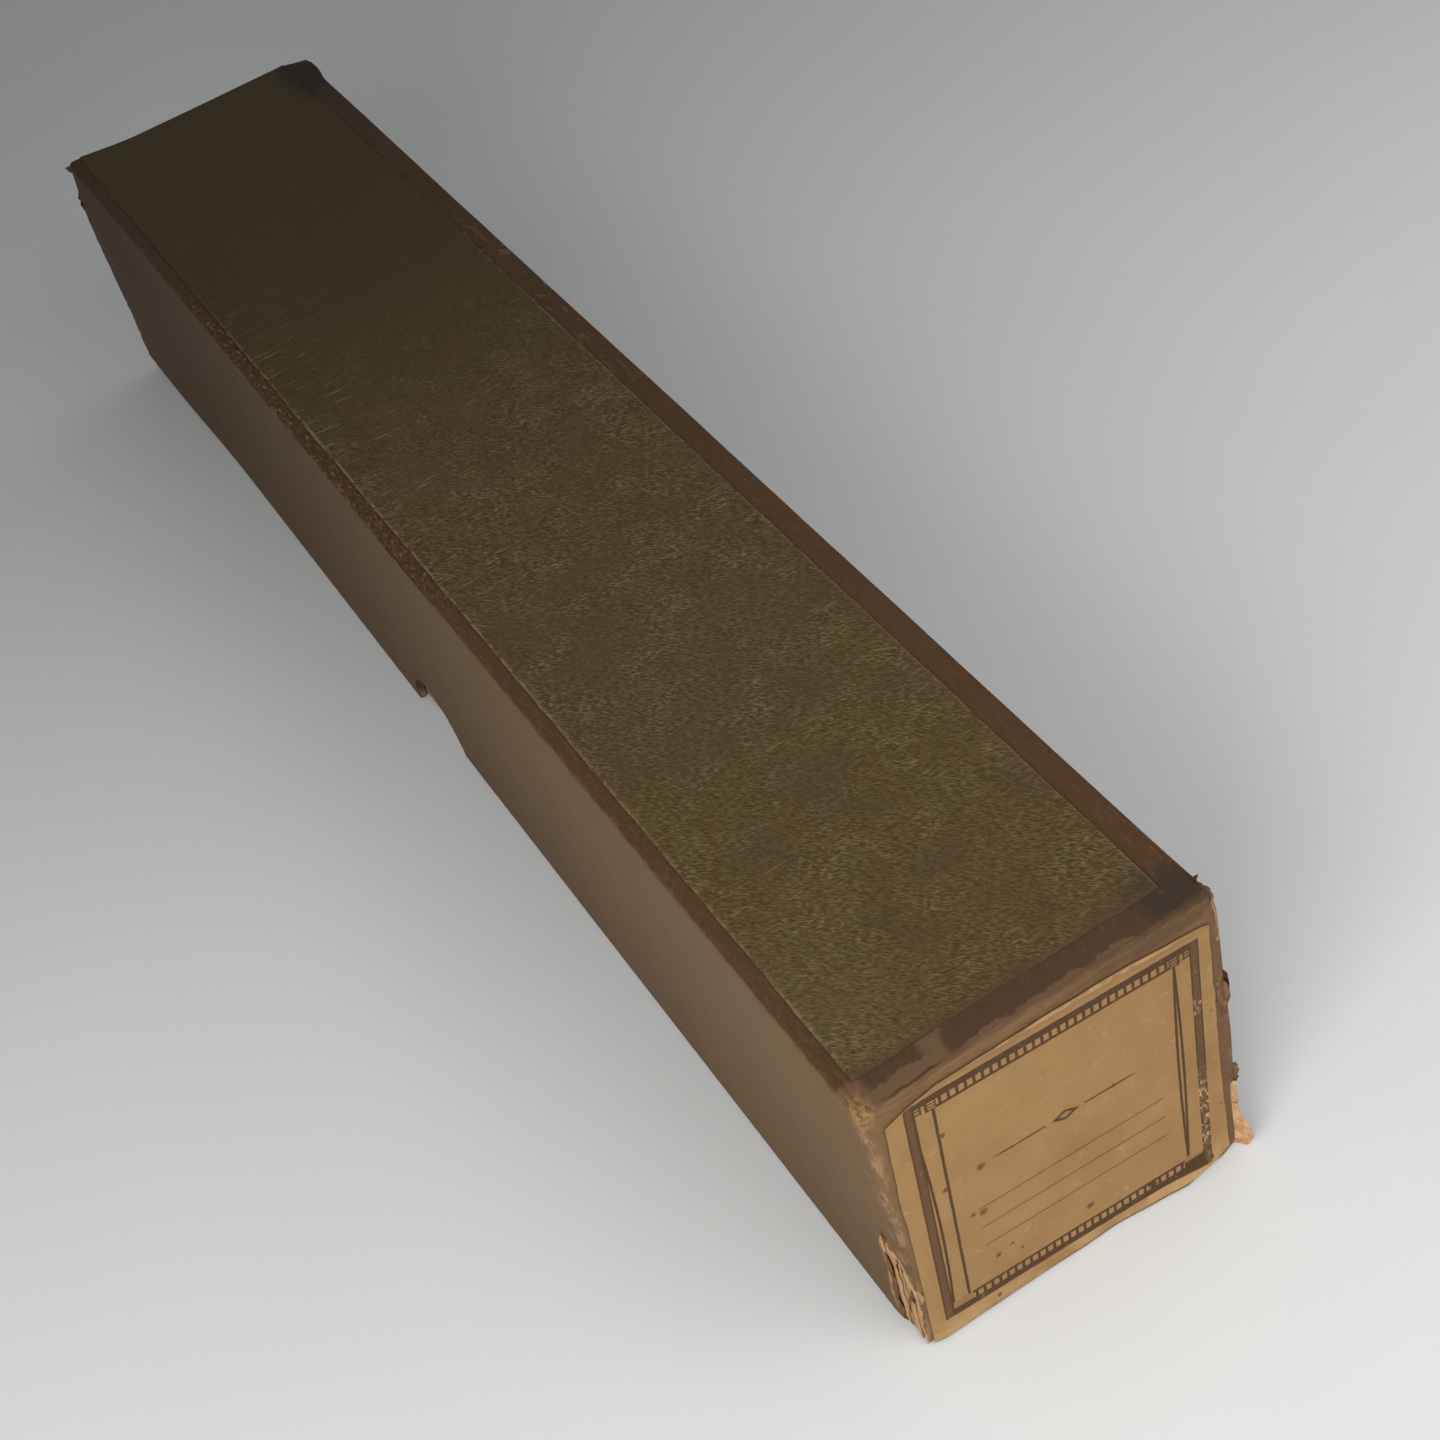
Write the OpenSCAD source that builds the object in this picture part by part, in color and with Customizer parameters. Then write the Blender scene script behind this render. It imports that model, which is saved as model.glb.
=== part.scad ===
// Piano roll in its closed cardboard box: a tray, a full-depth lid, and a spool of wound music paper.
// The origin is the centre of the tray's underside. +X points to the labelled end and +Z is up.
// The roll's own sizes drive the tray around it, and the tray drives the lid.

/* [Wound paper] */
// Width of the music paper, the standard eleven and a quarter inches
paper_w = 285.75; // [200:0.25:330]
// Diameter over the wound music paper
wound_d = 45; // [38:0.5:47]
// Thickness of the stout leader sheet
leader_t = 0.2; // [0.1:0.05:0.35]
// Play between the leader's outer turn and the winding inside it
leader_play = 0.3; // [0.2:0.05:0.5]
// Length of the leader's tapered tongue, seen from above
tongue_run = 19; // [14:0.5:20]
// Width of the tongue at its blunt tip
tongue_tip_w = 46; // [36:1:80]

/* [Leader tab] */
// Width of the linen tab along the roll
tab_w = 26; // [18:1:34]
// Thickness of the linen tab
tab_t = 0.4; // [0.25:0.05:0.6]
// Distance from the roll's axis plane to the tab's free end, seen from above
tab_reach = 9; // [7:0.5:12]
// Distance from the roll's axis plane back to the tab's glued end, seen from above
tab_root = 13; // [9:0.5:16]
// Diameter of the hole through the eyelet
eyelet_hole_d = 5; // [3:0.5:6]
// Diameter over the eyelet's collar
eyelet_collar_d = 9; // [8:0.5:11]
// Wall of the eyelet's barrel
eyelet_wall = 0.5; // [0.3:0.1:0.8]
// Thickness of the eyelet's collar
eyelet_collar_t = 0.5; // [0.3:0.1:0.8]

/* [Core and ends] */
// Outside diameter of the core tube
core_d = 32; // [26:0.5:36]
// Wall of the core tube
core_wall = 3; // [2:0.25:4]
// How far the core stands out past each flange hub
core_proud = 1.4; // [0.8:0.1:3]
// Length of each turned wooden plug
plug_len = 22; // [16:1:40]
// How far the flanges stand out past the eyelet on the leader
flange_over = 0.9; // [0.5:0.1:3]
// Thickness of a flange's disc
flange_t = 2; // [1.2:0.1:3]
// Length of the hub on a flange's outer side
hub_len = 5.5; // [3:0.5:9]
// Wall of the flange hub round the core
hub_wall = 2.5; // [1.5:0.25:3.5]
// Width of the rolled bead along a flange's rim
bead_w = 1.5; // [0.8:0.1:2.5]
// Height of the rolled bead above the flange's outer face
bead_h = 0.8; // [0.4:0.1:1.2]
// Play between the paper's edge and each flange
edge_play = 0.4; // [0.2:0.05:1]
// Width of the gummed tape that holds the paper's inner end to the core
tape_w = 12; // [6:1:18]
// Thickness of the gummed tape
tape_t = 0.1; // [0.05:0.05:0.2]
// Slack of the glued fits on and in the core
glue_slack = 0.03; // [0.02:0.01:0.05]

/* [End plates] */
// Diameter of the sheet metal plate on each end of the core
plate_d = 29; // [27:0.5:31]
// Thickness of the end plates
plate_t = 0.5; // [0.4:0.1:0.8]
// Diameter of the round bearing hole for the player's pin
bearing_d = 8.2; // [6:0.1:9]
// Depth of the bearing ferrule from the plate's face
ferrule_len = 8.5; // [5:0.5:12]
// Wall of the bearing ferrule
ferrule_wall = 0.5; // [0.4:0.1:0.8]
// Width of the drive slot
slot_w = 3.6; // [3:0.1:4.5]
// Length of the drive slot
slot_len = 16; // [13:0.5:17]
// Room round the drive blade in the pocket behind the slot
pocket_room = 0.7; // [0.3:0.1:1]
// Depth of the pocket behind the slot
pocket_deep = 12; // [6:0.5:15]
// Number of nails in each plate
nail_count = 3; // [2:1:6]
// Diameter of the circle that the nails stand on
nail_circle_d = 21.5; // [20:0.5:22]
// Diameter of a nail's shank
nail_d = 1.2; // [0.8:0.1:1.6]
// Length of a nail under its head
nail_len = 9; // [5:0.5:12]
// Diameter of a nail's head
nail_head_d = 2.6; // [2:0.1:3]
// Height of a nail's head
nail_head_h = 0.4; // [0.2:0.1:0.6]

/* [Room for the roll] */
// Play between a flange and the tray's papered side
side_play = 0.45; // [0.3:0.05:1.5]
// Gap under the flanges
rest_gap = 0.3; // [0.2:0.05:0.5]
// Room from the top of the flanges to the tray's rim
head_room = 5.4; // [2:0.1:10]
// Room past each end of the roll
end_play = 5.6; // [2:0.1:12]

/* [Tray] */
// Thickness of the tray's strawboard
tray_board_t = 1.2; // [0.8:0.1:2]
// Thickness of the tray's covering paper
tray_paper_t = 0.15; // [0.1:0.05:0.25]
// Depth of the covering paper turned in over the tray's rim
tray_turn_in = 14; // [6:1:25]
// Width of the covering paper turned under the tray's base
tray_turn_under = 10; // [6:1:20]

/* [Lid] */
// Slip fit between the tray's paper and the lid's turned-in paper
fit_gap = 0.3; // [0.2:0.05:0.6]
// Gap between the tray's rim and the lid's top board
seat_gap = 0.25; // [0.2:0.05:0.5]
// Gap between the lid's rim and the surface that the tray stands on
rim_gap = 0.4; // [0.2:0.1:3]
// Thickness of the lid's strawboard
lid_board_t = 1.2; // [0.8:0.1:2]
// Thickness of the smooth paper wrapped round the lid's sides
wrap_t = 0.15; // [0.1:0.05:0.25]
// Depth of the wrap turned in at the lid's rim
lid_turn_in = 10; // [5:1:25]
// Width of the wrap turned over onto the lid's top
turn_over = 12; // [8:1:18]
// Radius of the half-round thumb notches
notch_r = 10.75; // [8:0.25:14]
// Distance of the thumb notches from mid-length, towards the labelled end
notch_shift = -6; // [-12:0.5:12]

/* [Paper stays on the box corners] */
// Thickness of the gummed paper pressed round each upright corner
stay_t = 0.12; // [0.08:0.02:0.2]
// Width of a stay on each side of its corner
stay_leg = 9; // [6:0.5:14]
// Distance of a stay's ends from the ends of its corner
stay_inset = 1.5; // [1:0.5:4]

/* [Top panel and label] */
// Thickness of the grained paper panel on the lid's top
panel_t = 0.2; // [0.1:0.05:0.3]
// Margin of brown wrap beside the panel on the notched front side
panel_front_margin = 2.75; // [1:0.25:6]
// Margin of brown wrap beside the panel on the back side
panel_back_margin = 4.75; // [1:0.25:6]
// Margin of brown wrap at the labelled end
panel_end_margin = 5.5; // [1:0.5:7]
// Thickness of the end label
label_t = 0.12; // [0.08:0.02:0.2]
// Margin beside the label on the front side
label_front_margin = 2.95; // [1:0.05:6]
// Margin beside the label on the back side
label_back_margin = 1.4; // [0.5:0.1:6]
// Margin above the label
label_top_margin = 4; // [2:0.25:12]

/* [Hidden] */
$fn = 96;
cut = 1;

core_r = core_d / 2;
core_bore_r = core_r - core_wall;
plug_r = core_bore_r - glue_slack;
winding_bore_r = core_r + tape_t + 2 * glue_slack;
wound_r = wound_d / 2;
leader_r = wound_r + leader_play;
leader_top_r = leader_r + 2 * leader_t;
tab_top_r = leader_top_r + tab_t;
tongue_root_half = paper_w / 2 - tongue_run;
flange_d = 2 * (tab_top_r + eyelet_collar_t + flange_over);

flange_in_x = paper_w / 2 + edge_play;
hub_in_x = flange_in_x + flange_t;
core_end_x = hub_in_x + hub_len + core_proud;
roll_len = 2 * (core_end_x + plate_t + nail_head_h);
hub_r = core_r + hub_wall;

base_t = 2 * tray_paper_t + tray_board_t;
axis_z = base_t + rest_gap + flange_d / 2;
tray_in_l = roll_len + 2 * (end_play + tray_paper_t);
tray_in_w = flange_d + 2 * (side_play + tray_paper_t);
tray_core_l = tray_in_l + 2 * tray_board_t;
tray_core_w = tray_in_w + 2 * tray_board_t;
tray_l = tray_core_l + 2 * tray_paper_t;
tray_w = tray_core_w + 2 * tray_paper_t;
tray_top = axis_z + flange_d / 2 + head_room;

lid_in_l = tray_l + 2 * (fit_gap + wrap_t);
lid_in_w = tray_w + 2 * (fit_gap + wrap_t);
lid_core_l = lid_in_l + 2 * lid_board_t;
lid_core_w = lid_in_w + 2 * lid_board_t;
lid_l = lid_core_l + 2 * wrap_t;
lid_w = lid_core_w + 2 * wrap_t;
lid_in_top = tray_top + seat_gap;
lid_core_top = lid_in_top + lid_board_t;
lid_wrap_top = lid_core_top + wrap_t;
panel_top = lid_wrap_top + panel_t;
lid_core_rim = rim_gap + wrap_t;
label_top = panel_top - label_top_margin;

// A block centred on the origin in plan, from one height to another
module block(l, w, z_low, z_high) {
  translate([-l / 2, -w / 2, z_low]) cube([l, w, z_high - z_low]);
}

// A wall that runs round a rectangle
module band(out_l, out_w, in_l, in_w, z_low, z_high) {
  difference() {
    block(out_l, out_w, z_low, z_high);
    block(in_l, in_w, z_low - cut, z_high + cut);
  }
}

// A cylinder along +X
module rod_x(x, r, length) {
  translate([x, 0, 0]) rotate([0, 90, 0]) cylinder(h = length, r = r);
}

// A tube along +X
module tube_x(x, r_out, r_in, length) {
  difference() {
    rod_x(x, r_out, length);
    rod_x(x - cut, r_in, length + 2 * cut);
  }
}

// Puts a piece that is drawn round the X axis onto the roll's axis
module on_axis() {
  translate([0, 0, axis_z]) children();
}

// Puts a piece that is drawn for the right end onto the left end
module left_end() {
  mirror([1, 0, 0]) children();
}

// The four gummed corner stays of a box whose boards measure l by w outside
module stay_legs(l, w, z_low, z_high) {
  for (sx = [-1, 1], sy = [-1, 1]) {
    difference() {
      translate([sx * (l - stay_leg) / 2, sy * (w - stay_leg) / 2, 0])
        block(stay_leg, stay_leg, z_low, z_high);
      block(l - 2 * stay_t, w - 2 * stay_t, z_low - cut, z_high + cut);
    }
  }
}

// The thumb notches through both long sides of the lid
module notch_cutter() {
  translate([notch_shift, 0, rim_gap]) rotate([90, 0, 0])
    cylinder(h = lid_w + 2 * cut, r = notch_r, center = true);
}

module tray_stay_shapes() {
  stay_legs(tray_core_l, tray_core_w, 2 * tray_paper_t + stay_inset, tray_top - tray_paper_t - stay_inset);
}

module lid_stay_shapes() {
  stay_legs(lid_core_l, lid_core_w, lid_core_rim + stay_inset, lid_core_top - stay_inset);
}

// Base panel of the tray's scored strawboard, with the four walls folded up round it
module tray_base_board() {
  color("tan") block(tray_in_l, tray_in_w, 2 * tray_paper_t, base_t);
}

// A long wall of the tray, the full length of the box, on the front (-1) or the back (1)
module tray_long_wall(side) {
  difference() {
    translate([0, side * (tray_in_w + tray_board_t) / 2, 0])
      block(tray_core_l, tray_board_t, 2 * tray_paper_t, tray_top - tray_paper_t);
    tray_stay_shapes();
  }
}

// An end wall of the tray, folded up between the long ones, on the left (-1) or the right (1)
module tray_end_wall(side) {
  difference() {
    translate([side * (tray_in_l + tray_board_t) / 2, 0, 0])
      block(tray_board_t, tray_in_w, 2 * tray_paper_t, tray_top - tray_paper_t);
    tray_stay_shapes();
  }
}

module tray_front_board() {
  color("tan") tray_long_wall(-1);
}

module tray_back_board() {
  color("tan") tray_long_wall(1);
}

module tray_left_board() {
  color("tan") tray_end_wall(-1);
}

module tray_right_board() {
  color("tan") tray_end_wall(1);
}

module tray_corner_stays() {
  color("burlywood") tray_stay_shapes();
}

// Paper round the walls, turned in over the rim and turned under the base
module tray_side_paper() {
  rim_low = tray_top - tray_turn_in;
  under_l = tray_core_l - 2 * tray_turn_under;
  under_w = tray_core_w - 2 * tray_turn_under;
  paper_in_l = tray_in_l - 2 * tray_paper_t;
  paper_in_w = tray_in_w - 2 * tray_paper_t;
  color("gainsboro") union() {
    band(tray_l, tray_w, tray_core_l, tray_core_w, tray_paper_t, tray_top);
    band(tray_l, tray_w, under_l, under_w, tray_paper_t, 2 * tray_paper_t);
    band(tray_l, tray_w, paper_in_l, paper_in_w, tray_top - tray_paper_t, tray_top);
    band(tray_in_l, tray_in_w, paper_in_l, paper_in_w, rim_low, tray_top);
  }
}

// Flat sheet glued over the turned-under edges
module tray_base_paper() {
  color("whitesmoke") union() {
    block(tray_l, tray_w, 0, tray_paper_t);
    block(tray_core_l - 2 * tray_turn_under, tray_core_w - 2 * tray_turn_under, 0, 2 * tray_paper_t);
  }
}

// Top panel of the lid's scored strawboard, with the four walls folded down round it
module lid_top_board() {
  color("peru") block(lid_in_l, lid_in_w, lid_in_top, lid_core_top);
}

// A long wall of the lid with its thumb notch, on the front (-1) or the back (1)
module lid_long_wall(side) {
  difference() {
    translate([0, side * (lid_in_w + lid_board_t) / 2, 0])
      block(lid_core_l, lid_board_t, lid_core_rim, lid_core_top);
    lid_stay_shapes();
    notch_cutter();
  }
}

// An end wall of the lid, folded down between the long ones, on the left (-1) or the right (1)
module lid_end_wall(side) {
  difference() {
    translate([side * (lid_in_l + lid_board_t) / 2, 0, 0])
      block(lid_board_t, lid_in_w, lid_core_rim, lid_core_top);
    lid_stay_shapes();
  }
}

module lid_front_board() {
  color("peru") lid_long_wall(-1);
}

module lid_back_board() {
  color("peru") lid_long_wall(1);
}

module lid_left_board() {
  color("peru") lid_end_wall(-1);
}

module lid_right_board() {
  color("peru") lid_end_wall(1);
}

module lid_corner_stays() {
  color("burlywood") lid_stay_shapes();
}

// Smooth brown paper round the sides, turned over onto the top and turned in at the rim
module lid_side_wrap() {
  paper_in_l = lid_in_l - 2 * wrap_t;
  paper_in_w = lid_in_w - 2 * wrap_t;
  color("#6a5848") difference() {
    union() {
      band(lid_l, lid_w, lid_core_l, lid_core_w, rim_gap, lid_wrap_top);
      band(lid_l, lid_w, lid_l - 2 * turn_over, lid_w - 2 * turn_over, lid_core_top, lid_wrap_top);
      band(lid_l, lid_w, paper_in_l, paper_in_w, rim_gap, lid_core_rim);
      band(lid_in_l, lid_in_w, paper_in_l, paper_in_w, rim_gap, lid_core_rim + lid_turn_in);
    }
    notch_cutter();
  }
}

// Grained panel glued over the turned-over wrap, flush with the far end
module lid_top_panel() {
  panel_l = lid_l - panel_end_margin;
  panel_w = lid_w - panel_front_margin - panel_back_margin;
  color("#55492a") union() {
    translate([-lid_l / 2, panel_front_margin - lid_w / 2, lid_wrap_top])
      cube([panel_l, panel_w, panel_t]);
    block(lid_l - 2 * turn_over, lid_w - 2 * turn_over, lid_core_top, panel_top);
  }
}

module lid_end_label() {
  label_w = lid_w - label_front_margin - label_back_margin;
  color("#ac8650") translate([lid_l / 2, label_front_margin - lid_w / 2, rim_gap])
    cube([label_t, label_w, label_top - rim_gap]);
}

// Outer turn of the leader, with its tapered tongue lying on it
module leader_sheet() {
  tip_half = tongue_tip_w / 2;
  tip_y = -tongue_run / 2;
  root_y = tongue_run / 2;
  color("#cfc09a") on_axis() difference() {
    union() {
      tube_x(-paper_w / 2, leader_r + leader_t, leader_r, paper_w);
      intersection() {
        tube_x(-paper_w / 2, leader_top_r, leader_r, paper_w);
        linear_extrude(height = leader_top_r + cut)
          polygon([
            [-tip_half, tip_y], [tip_half, tip_y],
            [tongue_root_half, root_y], [-tongue_root_half, root_y]
          ]);
      }
    }
    eyelet_cutter();
  }
}

// Hole for the eyelet's barrel through the tab and the leader
module eyelet_cutter() {
  cylinder(h = tab_top_r + cut, r = eyelet_hole_d / 2 + eyelet_wall + glue_slack);
}

// Linen tab glued across the tongue, curved to the roll
module leader_tab() {
  color("#8f8465") on_axis() difference() {
    intersection() {
      tube_x(-tab_w / 2, tab_top_r, leader_top_r, tab_w);
      translate([-tab_w / 2, -tab_reach, 0]) cube([tab_w, tab_reach + tab_root, tab_top_r + cut]);
    }
    eyelet_cutter();
  }
}

// Brass eyelet that the player's hook goes through
module tab_eyelet() {
  barrel_r = eyelet_hole_d / 2 + eyelet_wall;
  color("goldenrod") on_axis() difference() {
    union() {
      translate([0, 0, leader_r + leader_t / 2])
        cylinder(h = tab_top_r - leader_r - leader_t / 2 + eyelet_collar_t, r = barrel_r);
      translate([0, 0, tab_top_r]) cylinder(h = eyelet_collar_t, r = eyelet_collar_d / 2);
    }
    cylinder(h = tab_top_r + eyelet_collar_t + cut, r = eyelet_hole_d / 2);
  }
}

// Some hundred turns of thin music paper, wound tight
module wound_paper() {
  color("#d8c9a2") on_axis() tube_x(-paper_w / 2, wound_r, winding_bore_r, paper_w);
}

// Gummed tape that fixes the paper's inner end along the core
module core_tape() {
  color("khaki") on_axis() intersection() {
    tube_x(-paper_w / 2, core_r + glue_slack + tape_t, core_r + glue_slack, paper_w);
    translate([-paper_w / 2, -tape_w / 2, 0]) cube([paper_w, tape_w, core_d]);
  }
}

module core_tube() {
  color("#b39a6c") on_axis() tube_x(-core_end_x, core_r, core_bore_r, 2 * core_end_x);
}

// Places nails or their holes round an end plate
module nail_places() {
  for (i = [0:nail_count - 1]) {
    rotate([i * 360 / nail_count, 0, 0]) translate([0, 0, nail_circle_d / 2]) children();
  }
}

// Pilot holes through a plate and into its plug
module nail_holes() {
  nail_places() rod_x(core_end_x - nail_len - cut, nail_d / 2 + glue_slack, nail_len + plate_t + 2 * cut);
}

// Turned wooden plug, drawn for the right end
module plug_blank() {
  rod_x(core_end_x - plug_len, plug_r, plug_len);
}

module left_plug() {
  color("#c49a5e") on_axis() left_end() difference() {
    plug_blank();
    rod_x(core_end_x - plug_len - cut, bearing_d / 2 + ferrule_wall + glue_slack, plug_len + 2 * cut);
    nail_holes();
  }
}

module right_plug() {
  pocket_w = slot_w + 2 * pocket_room;
  pocket_len = slot_len + 2 * pocket_room;
  color("#c49a5e") on_axis() difference() {
    plug_blank();
    translate([core_end_x - pocket_deep, -pocket_w / 2, -pocket_len / 2])
      cube([pocket_deep + cut, pocket_w, pocket_len]);
    nail_holes();
  }
}

// Pressed fibre flange with a hub and a rolled rim, drawn for the right end
module flange() {
  flange_r = flange_d / 2;
  difference() {
    union() {
      rod_x(flange_in_x, flange_r, flange_t);
      rod_x(hub_in_x, hub_r, hub_len);
      tube_x(hub_in_x, flange_r, flange_r - bead_w, bead_h);
    }
    rod_x(flange_in_x - cut, core_r + glue_slack, flange_t + hub_len + 2 * cut);
  }
}

module left_flange() {
  color("#5a3a26") on_axis() left_end() flange();
}

module right_flange() {
  color("#5a3a26") on_axis() flange();
}

// Sheet metal plate on the left end, with a drawn ferrule for the player's pin
module bearing_plate() {
  bearing_r = bearing_d / 2;
  color("silver") on_axis() left_end() difference() {
    union() {
      rod_x(core_end_x, plate_d / 2, plate_t);
      rod_x(core_end_x + plate_t - ferrule_len, bearing_r + ferrule_wall, ferrule_len);
    }
    rod_x(core_end_x + plate_t - ferrule_len - cut, bearing_r, ferrule_len + 2 * cut);
    nail_holes();
  }
}

// Sheet metal plate on the right end, with a slot for the player's drive blade
module drive_plate() {
  color("silver") on_axis() difference() {
    rod_x(core_end_x, plate_d / 2, plate_t);
    translate([core_end_x - cut, -slot_w / 2, -slot_len / 2]) cube([plate_t + 2 * cut, slot_w, slot_len]);
    nail_holes();
  }
}

// Round-headed nails, drawn for the right end
module plate_nails() {
  nail_places() {
    rod_x(core_end_x + plate_t - nail_len, nail_d / 2, nail_len);
    rod_x(core_end_x + plate_t, nail_head_d / 2, nail_head_h);
  }
}

module bearing_plate_nails() {
  color("dimgray") on_axis() left_end() plate_nails();
}

module drive_plate_nails() {
  color("dimgray") on_axis() plate_nails();
}

tray_base_board();
tray_front_board();
tray_back_board();
tray_left_board();
tray_right_board();
tray_corner_stays();
tray_side_paper();
tray_base_paper();
lid_top_board();
lid_front_board();
lid_back_board();
lid_left_board();
lid_right_board();
lid_corner_stays();
lid_side_wrap();
lid_top_panel();
lid_end_label();
leader_sheet();
leader_tab();
tab_eyelet();
wound_paper();
core_tape();
core_tube();
left_plug();
right_plug();
left_flange();
right_flange();
bearing_plate();
drive_plate();
bearing_plate_nails();
drive_plate_nails();
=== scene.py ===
# Boxed piano roll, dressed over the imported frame. Lengths are millimetres until a mesh is made.
import math

import bpy
from mathutils import Matrix, Vector, noise


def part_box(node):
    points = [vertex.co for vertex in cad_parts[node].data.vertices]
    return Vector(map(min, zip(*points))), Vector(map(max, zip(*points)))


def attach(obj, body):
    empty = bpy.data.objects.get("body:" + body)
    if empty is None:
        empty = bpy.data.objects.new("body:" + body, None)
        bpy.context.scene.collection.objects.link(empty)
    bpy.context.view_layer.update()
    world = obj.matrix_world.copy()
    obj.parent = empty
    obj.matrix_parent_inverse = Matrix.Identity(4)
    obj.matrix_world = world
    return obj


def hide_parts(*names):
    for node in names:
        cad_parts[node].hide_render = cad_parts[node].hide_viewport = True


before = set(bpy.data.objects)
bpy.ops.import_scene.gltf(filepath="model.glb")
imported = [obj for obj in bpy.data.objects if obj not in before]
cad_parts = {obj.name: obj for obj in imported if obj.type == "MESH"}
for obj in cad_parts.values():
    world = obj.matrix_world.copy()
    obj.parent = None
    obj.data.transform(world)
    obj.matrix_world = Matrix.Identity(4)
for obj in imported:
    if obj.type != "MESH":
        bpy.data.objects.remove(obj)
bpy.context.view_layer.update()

MM = 0.001


# Small sums

def clamp(value, low=0, high=1):
    return max(low, min(high, value))


def ease(value, low, high):
    t = clamp((value - low) / (high - low))
    return t * t * (3 - 2 * t)


def between(value, low, high, soft):
    """1 inside a span, easing to 0 over soft on both sides."""
    return ease(value, low - soft, low) * (1 - ease(value, high, high + soft))


def wander(x, y=0, z=0):
    """Smooth noise from -1 to 1, the same on every run."""
    return noise.noise(Vector((x + 31.7, y + 11.3, z + 5.9)))


def along(table, at):
    """Straight-line reading of a table of (position, value, ...) rows, rising in position."""
    if at <= table[0][0]:
        return table[0][1:]
    for low, high in zip(table, table[1:]):
        if at <= high[0]:
            t = (at - low[0]) / (high[0] - low[0])
            return tuple(a + (b - a) * t for a, b in zip(low[1:], high[1:]))
    return table[-1][1:]


def linear(red, green, blue):
    """A colour read off a screen, 0 to 255, as the linear colour that a shader takes."""
    def one(v):
        v /= 255
        return v / 12.92 if v <= 0.04045 else ((v + 0.055) / 1.055) ** 2.4
    return (one(red), one(green), one(blue), 1)


# Materials

def step(operation, swapped=False):
    """A Wire method that adds one Math node."""
    def method(wire, *others):
        node = wire.finish.node("Math", {"operation": operation})
        for socket, value in zip(node.inputs, (*others, wire) if swapped else (wire, *others)):
            wire.finish.feed(socket, value)
        return Wire(wire.finish, node.outputs[0])
    return method


class Wire:
    """A number on its way through a material. Plain arithmetic on it adds Math nodes."""

    def __init__(self, finish, socket):
        self.finish, self.socket = finish, socket

    __add__ = __radd__ = step("ADD")
    __mul__ = __rmul__ = step("MULTIPLY")
    __sub__, __rsub__ = step("SUBTRACT"), step("SUBTRACT", True)
    __truediv__, __pow__, __abs__ = step("DIVIDE"), step("POWER"), step("ABSOLUTE")
    most, least, whole, part = step("MAXIMUM"), step("MINIMUM"), step("FLOOR"), step("FRACT")

    def rise(self, low, high):
        """0 below low, 1 above high."""
        node = self.finish.node("MapRange", {"interpolation_type": "SMOOTHSTEP"},
                                Value=self, From_Min=low, From_Max=high)
        return Wire(self.finish, node.outputs[0])

    def fall(self, low, high):
        return 1 - self.rise(low, high)

    def inside(self, low, high, soft):
        return self.rise(low - soft, low + soft) * self.fall(high - soft, high + soft)


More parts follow.
